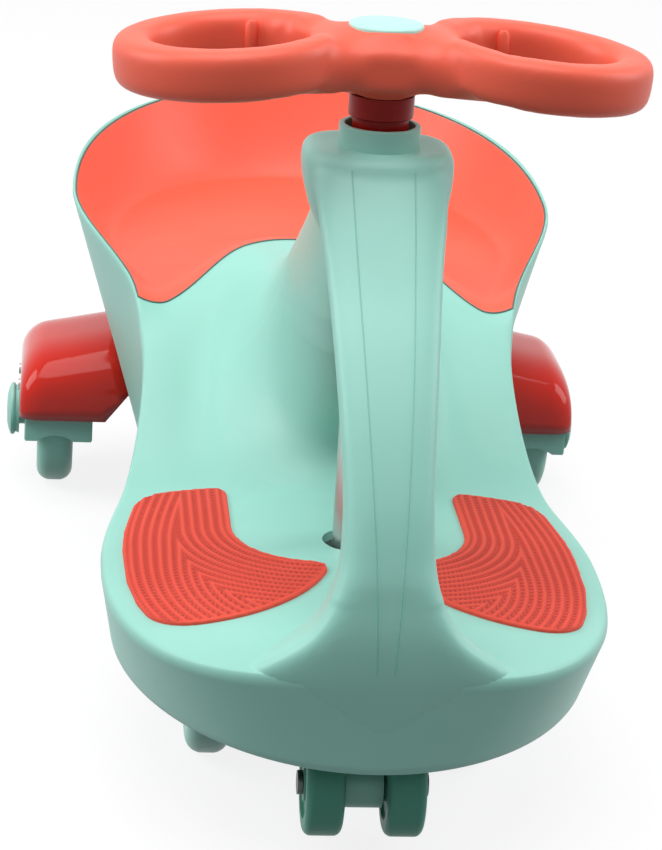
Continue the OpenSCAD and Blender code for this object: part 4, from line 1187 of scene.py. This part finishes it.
def road_wheel(name, body, x, y, tyre_node, core_node):
    centre = point(x, y, WHEEL_R)
    bm = bmesh.new()
    profile = ([(TYRE_INNER_R, -WHEEL_HALF_WIDTH + 2), (TYRE_INNER_R + 3, -WHEEL_HALF_WIDTH + 0.4)]
               + arc(WHEEL_R - TREAD_ROUND, -WHEEL_HALF_WIDTH + TREAD_ROUND, TREAD_ROUND, -90, -8, 10)
               + arc(WHEEL_R - TREAD_ROUND, WHEEL_HALF_WIDTH - TREAD_ROUND, TREAD_ROUND, 8, 90, 10)
               + [(TYRE_INNER_R + 3, WHEEL_HALF_WIDTH - 0.4), (TYRE_INNER_R, WHEEL_HALF_WIDTH - 2),
                  (TYRE_INNER_R, -WHEEL_HALF_WIDTH + 2)])
    lathe(bm, profile, centre, ACROSS, 128)
    add_piece(name + "_tread", bm, body, tyre_mint, tyre_node)
    bm = bmesh.new()
    half = [(9, -4.5), (11, -11.3), (14, -11.5), (15.2, -10.8), (15.2, -5.5), (16, -4.7), (24, -4.7),
            (25, -5.5), (25.2, -9), (26, -9.5), (TYRE_INNER_R, -9.5)]
    profile = half + [(r, -along) for r, along in reversed(half)] + [half[0]]
    lathe(bm, profile, centre, ACROSS)
    for k in range(SPOKE_COUNT):
        turn = Matrix.Rotation(math.radians(360 / SPOKE_COUNT * k), 3, "X")
        spoke = bmesh.ops.create_cube(bm, size=1)["verts"]
        bmesh.ops.scale(bm, vec=Vector(SPOKE_SIZE) * MM, verts=spoke)
        bevelled = rounded(bm, edges_of(spoke), 0.6, 2)
        spoke = list(dict.fromkeys(v for f in bevelled["faces"] for v in f.verts))
        bmesh.ops.translate(bm, vec=(0, 0, SPOKE_R * MM), verts=spoke)
        bmesh.ops.rotate(bm, cent=(0, 0, 0), matrix=turn, verts=spoke)
        bmesh.ops.translate(bm, vec=centre, verts=spoke)
    add_piece(name + "_spokes", bm, body, core_mint_painted_shade, core_node)


def guard_wheel(name, body, x, node):
    bm = bmesh.new()
    half = GUARD_HALF_WIDTH
    deep = half - GUARD_RECESS
    rim = GUARD_R - GUARD_ROUND
    profile = ([(GUARD_BORE_R, -half), (9, -half), (10, -deep), (17, -deep), (18, -half)]
               + arc(rim, -half + GUARD_ROUND, GUARD_ROUND, -90, 0)
               + arc(rim, half - GUARD_ROUND, GUARD_ROUND, 0, 90)
               + [(18, half), (17, deep), (10, deep), (9, half), (GUARD_BORE_R, half),
                  (GUARD_BORE_R, -half)])
    lathe(bm, profile, point(x, GUARD_Y, GUARD_Z), ACROSS)
    add_piece(name, bm, body, guard_mint_painted_shade, node)


def axle_cap(name, side, node):
    bm = bmesh.new()
    face = AXLE_CAP_IN_X
    dome = AXLE_CAP_FACE_X
    profile = ([(0, face + 6), (7.6, face + 6), (7.6, face), (10, face), (10, dome), (16, dome)]
               + arc(15.2, dome + 4.2, 1.8, -90, 35, 5)
               + [(13, dome + 6.8), (9, dome + 7.7), (0, dome + 8)])
    lathe(bm, profile, point(0, REAR_Y, WHEEL_R), ACROSS)
    if side < 0:
        bmesh.ops.scale(bm, vec=(-1, 1, 1), verts=bm.verts)
        bmesh.ops.recalc_face_normals(bm, faces=bm.faces)
    add_piece(name, bm, "chassis", mint, node)


def softened(name, node, body, finish, radius):
    """A CAD form with its edges rounded as a mould leaves them."""
    bm = copied(node)
    bmesh.ops.dissolve_limit(bm, angle_limit=math.radians(1), verts=bm.verts, edges=bm.edges)
    piece = add_piece(name, bm, body, finish, node, sharp=30)
    edge = piece.modifiers.new("edge", "BEVEL")
    edge.width = radius * MM
    edge.segments = 2
    edge.limit_method = "ANGLE"
    edge.angle_limit = math.radians(40)


tub_tree = BVHTree.FromBMesh(tub_form())
tub_skin()
skin_tree = pillar_skin(tub_tree)
body_lining()
collar()
band_grooves(skin_tree)
seat()
foot_pads()
steering()
fenders(tub_tree)
for side, word in ((-1, "left"), (1, "right")):
    road_wheel("rear_wheel_" + word, "rear_wheel_" + word, side * REAR_X, REAR_Y,
               "rear_tyre_" + word, "rear_core_" + word)
    road_wheel("front_wheel_" + word, "front_wheel_" + word, side * FRONT_X, 0,
               "front_tyre_" + word, "front_core_" + word)
    guard_wheel("guard_roller_" + word, "guard_roller_" + word, side * GUARD_X, "guard_wheel_" + word)
    axle_cap("axle_disc_" + word, side, "axle_cap_" + word)
    softened("wheel_carrier_" + word, "rear_fork_" + word, "chassis", mint, 0.8)
softened("steering_yoke", "front_yoke", "steering", mint, 1.2)

# CAD nodes that stay as they are, with their own finish
KEPT = {
    bush_grey: ["upper_bush", "lower_bush", "front_spacers", "rear_spacers"],
    steel: ["shaft_bolt", "steering_shaft", "thrust_washer", "yoke_pin", "front_axle_left",
            "front_axle_right", "front_bearings_left", "front_bearings_right", "fork_bolts",
            "fender_screws", "rear_axle_left", "rear_axle_right", "rear_bearings_left",
            "rear_bearings_right", "seat_screws"],
    steel_in_painted_shade: ["rear_axle_nuts", "guard_axle", "guard_clips"],
}
for finish, nodes in KEPT.items():
    for node in nodes:
        for material_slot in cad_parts[node].material_slots:
            material_slot.material = finish


# Floor, light and camera: places in metres, the lens in pixels of the image
CAMERA_EYE = (-0.15826, -1.56580, 0.65944)
CAMERA_TARGET = (-0.00231, -0.07453, 0.13908)
CAMERA_ROLL = 3.526
IMAGE_WIDTH = 662
FOCAL_PIXELS = 2865.24
SHIFT_PIXELS = (-1.44, 2.62)
SENSOR_WIDTH = 36


def seen_directly(tree):
    """1 for what the eye, a reflection or clear plastic sees, 0 for light on its way to a surface."""
    path = add_node(tree, "ShaderNodeLightPath", {})
    eye = add_node(tree, "ShaderNodeMath", {"operation": "MAXIMUM"})
    tree.links.new(path.outputs["Is Camera Ray"], eye.inputs[0])
    tree.links.new(path.outputs["Is Glossy Ray"], eye.inputs[1])
    both = add_node(tree, "ShaderNodeMath", {"operation": "MAXIMUM"})
    tree.links.new(eye.outputs["Value"], both.inputs[0])
    tree.links.new(path.outputs["Is Transmission Ray"], both.inputs[1])
    return both.outputs["Value"]


def floor():
    """White paper: it glows to the eye and throws back little light, so its shadow stays faint."""
    bm = bmesh.new()
    bmesh.ops.create_grid(bm, x_segments=2, y_segments=2, size=7)
    mesh = bpy.data.meshes.new("floor")
    bm.to_mesh(mesh)
    bm.free()
    ground = bpy.data.objects.new("floor", mesh)
    bpy.context.scene.collection.objects.link(ground)
    surface = {"Roughness": 0.9, "Specular IOR Level": 0.1}
    paper, tree, shader, place = new_material("white_paper_floor", surface)
    fleck = add_node(tree, "ShaderNodeTexNoise", {"Scale": 1 / 0.4, "Detail": 1.0}, Vector=place)
    tone = add_node(tree, "ShaderNodeValToRGB", {}, Fac=fleck.outputs["Fac"])
    tone.color_ramp.elements[0].color = linear("#6c6c6c")
    tone.color_ramp.elements[1].color = linear("#707070")
    tree.links.new(tone.outputs["Color"], shader.inputs["Base Color"])
    glow = add_node(tree, "ShaderNodeMapRange", {"To Max": 0.85}, Value=seen_directly(tree))
    tree.links.new(glow.outputs["Result"], shader.inputs["Emission Strength"])
    mesh.materials.append(paper)


def soft_box(name, place, aim, size, energy):
    lamp = bpy.data.lights.new(name, "AREA")
    lamp.shape = "RECTANGLE"
    lamp.size = size[0]
    lamp.size_y = size[1]
    lamp.energy = energy
    holder = bpy.data.objects.new(name, lamp)
    holder.location = place
    holder.rotation_euler = (Vector(aim) - Vector(place)).to_track_quat("-Z", "Y").to_euler()
    bpy.context.scene.collection.objects.link(holder)


def studio():
    world = bpy.data.worlds.new("white_studio")
    bpy.context.scene.world = world
    world.use_nodes = True
    tree = world.node_tree
    tree.nodes.clear()
    fill = add_node(tree, "ShaderNodeBackground", {"Color": linear("#ffffff"), "Strength": 0.24})
    white = add_node(tree, "ShaderNodeBackground", {"Color": linear("#ffffff"), "Strength": 1.0})
    both = add_node(tree, "ShaderNodeMixShader", {}, Fac=seen_directly(tree))
    tree.links.new(fill.outputs["Background"], both.inputs[1])
    tree.links.new(white.outputs["Background"], both.inputs[2])
    add_node(tree, "ShaderNodeOutputWorld", {}, Surface=both.outputs["Shader"])
    soft_box("top_light", (-0.3, -0.45, 2.6), (0, 0, 0.1), (2.4, 2.4), 57)
    soft_box("left_light", (-2.0, 0.1, 1.3), (0, 0, 0.15), (1.2, 1.4), 25)
    soft_box("right_light", (2.0, 0.1, 1.3), (0, 0, 0.15), (1.2, 1.4), 20)


def camera():
    eye = Vector(CAMERA_EYE)
    target = Vector(CAMERA_TARGET)
    roll = math.radians(CAMERA_ROLL)
    ahead = (target - eye).normalized()
    right = ahead.cross(Vector((0, 0, 1))).normalized()
    up = right.cross(ahead)
    turned_right = math.cos(roll) * right + math.sin(roll) * up
    turned_up = math.cos(roll) * up - math.sin(roll) * right
    view = bpy.data.cameras.new("camera")
    view.sensor_fit = "HORIZONTAL"
    view.sensor_width = SENSOR_WIDTH
    view.lens = FOCAL_PIXELS / IMAGE_WIDTH * SENSOR_WIDTH
    view.shift_x = SHIFT_PIXELS[0] / IMAGE_WIDTH
    view.shift_y = SHIFT_PIXELS[1] / IMAGE_WIDTH
    holder = bpy.data.objects.new("camera", view)
    holder.matrix_world = Matrix((
        (turned_right.x, turned_up.x, -ahead.x, eye.x),
        (turned_right.y, turned_up.y, -ahead.y, eye.y),
        (turned_right.z, turned_up.z, -ahead.z, eye.z),
        (0, 0, 0, 1)))
    bpy.context.scene.collection.objects.link(holder)
    bpy.context.scene.camera = holder


floor()
studio()
camera()
bpy.context.scene.view_settings.view_transform = "Standard"
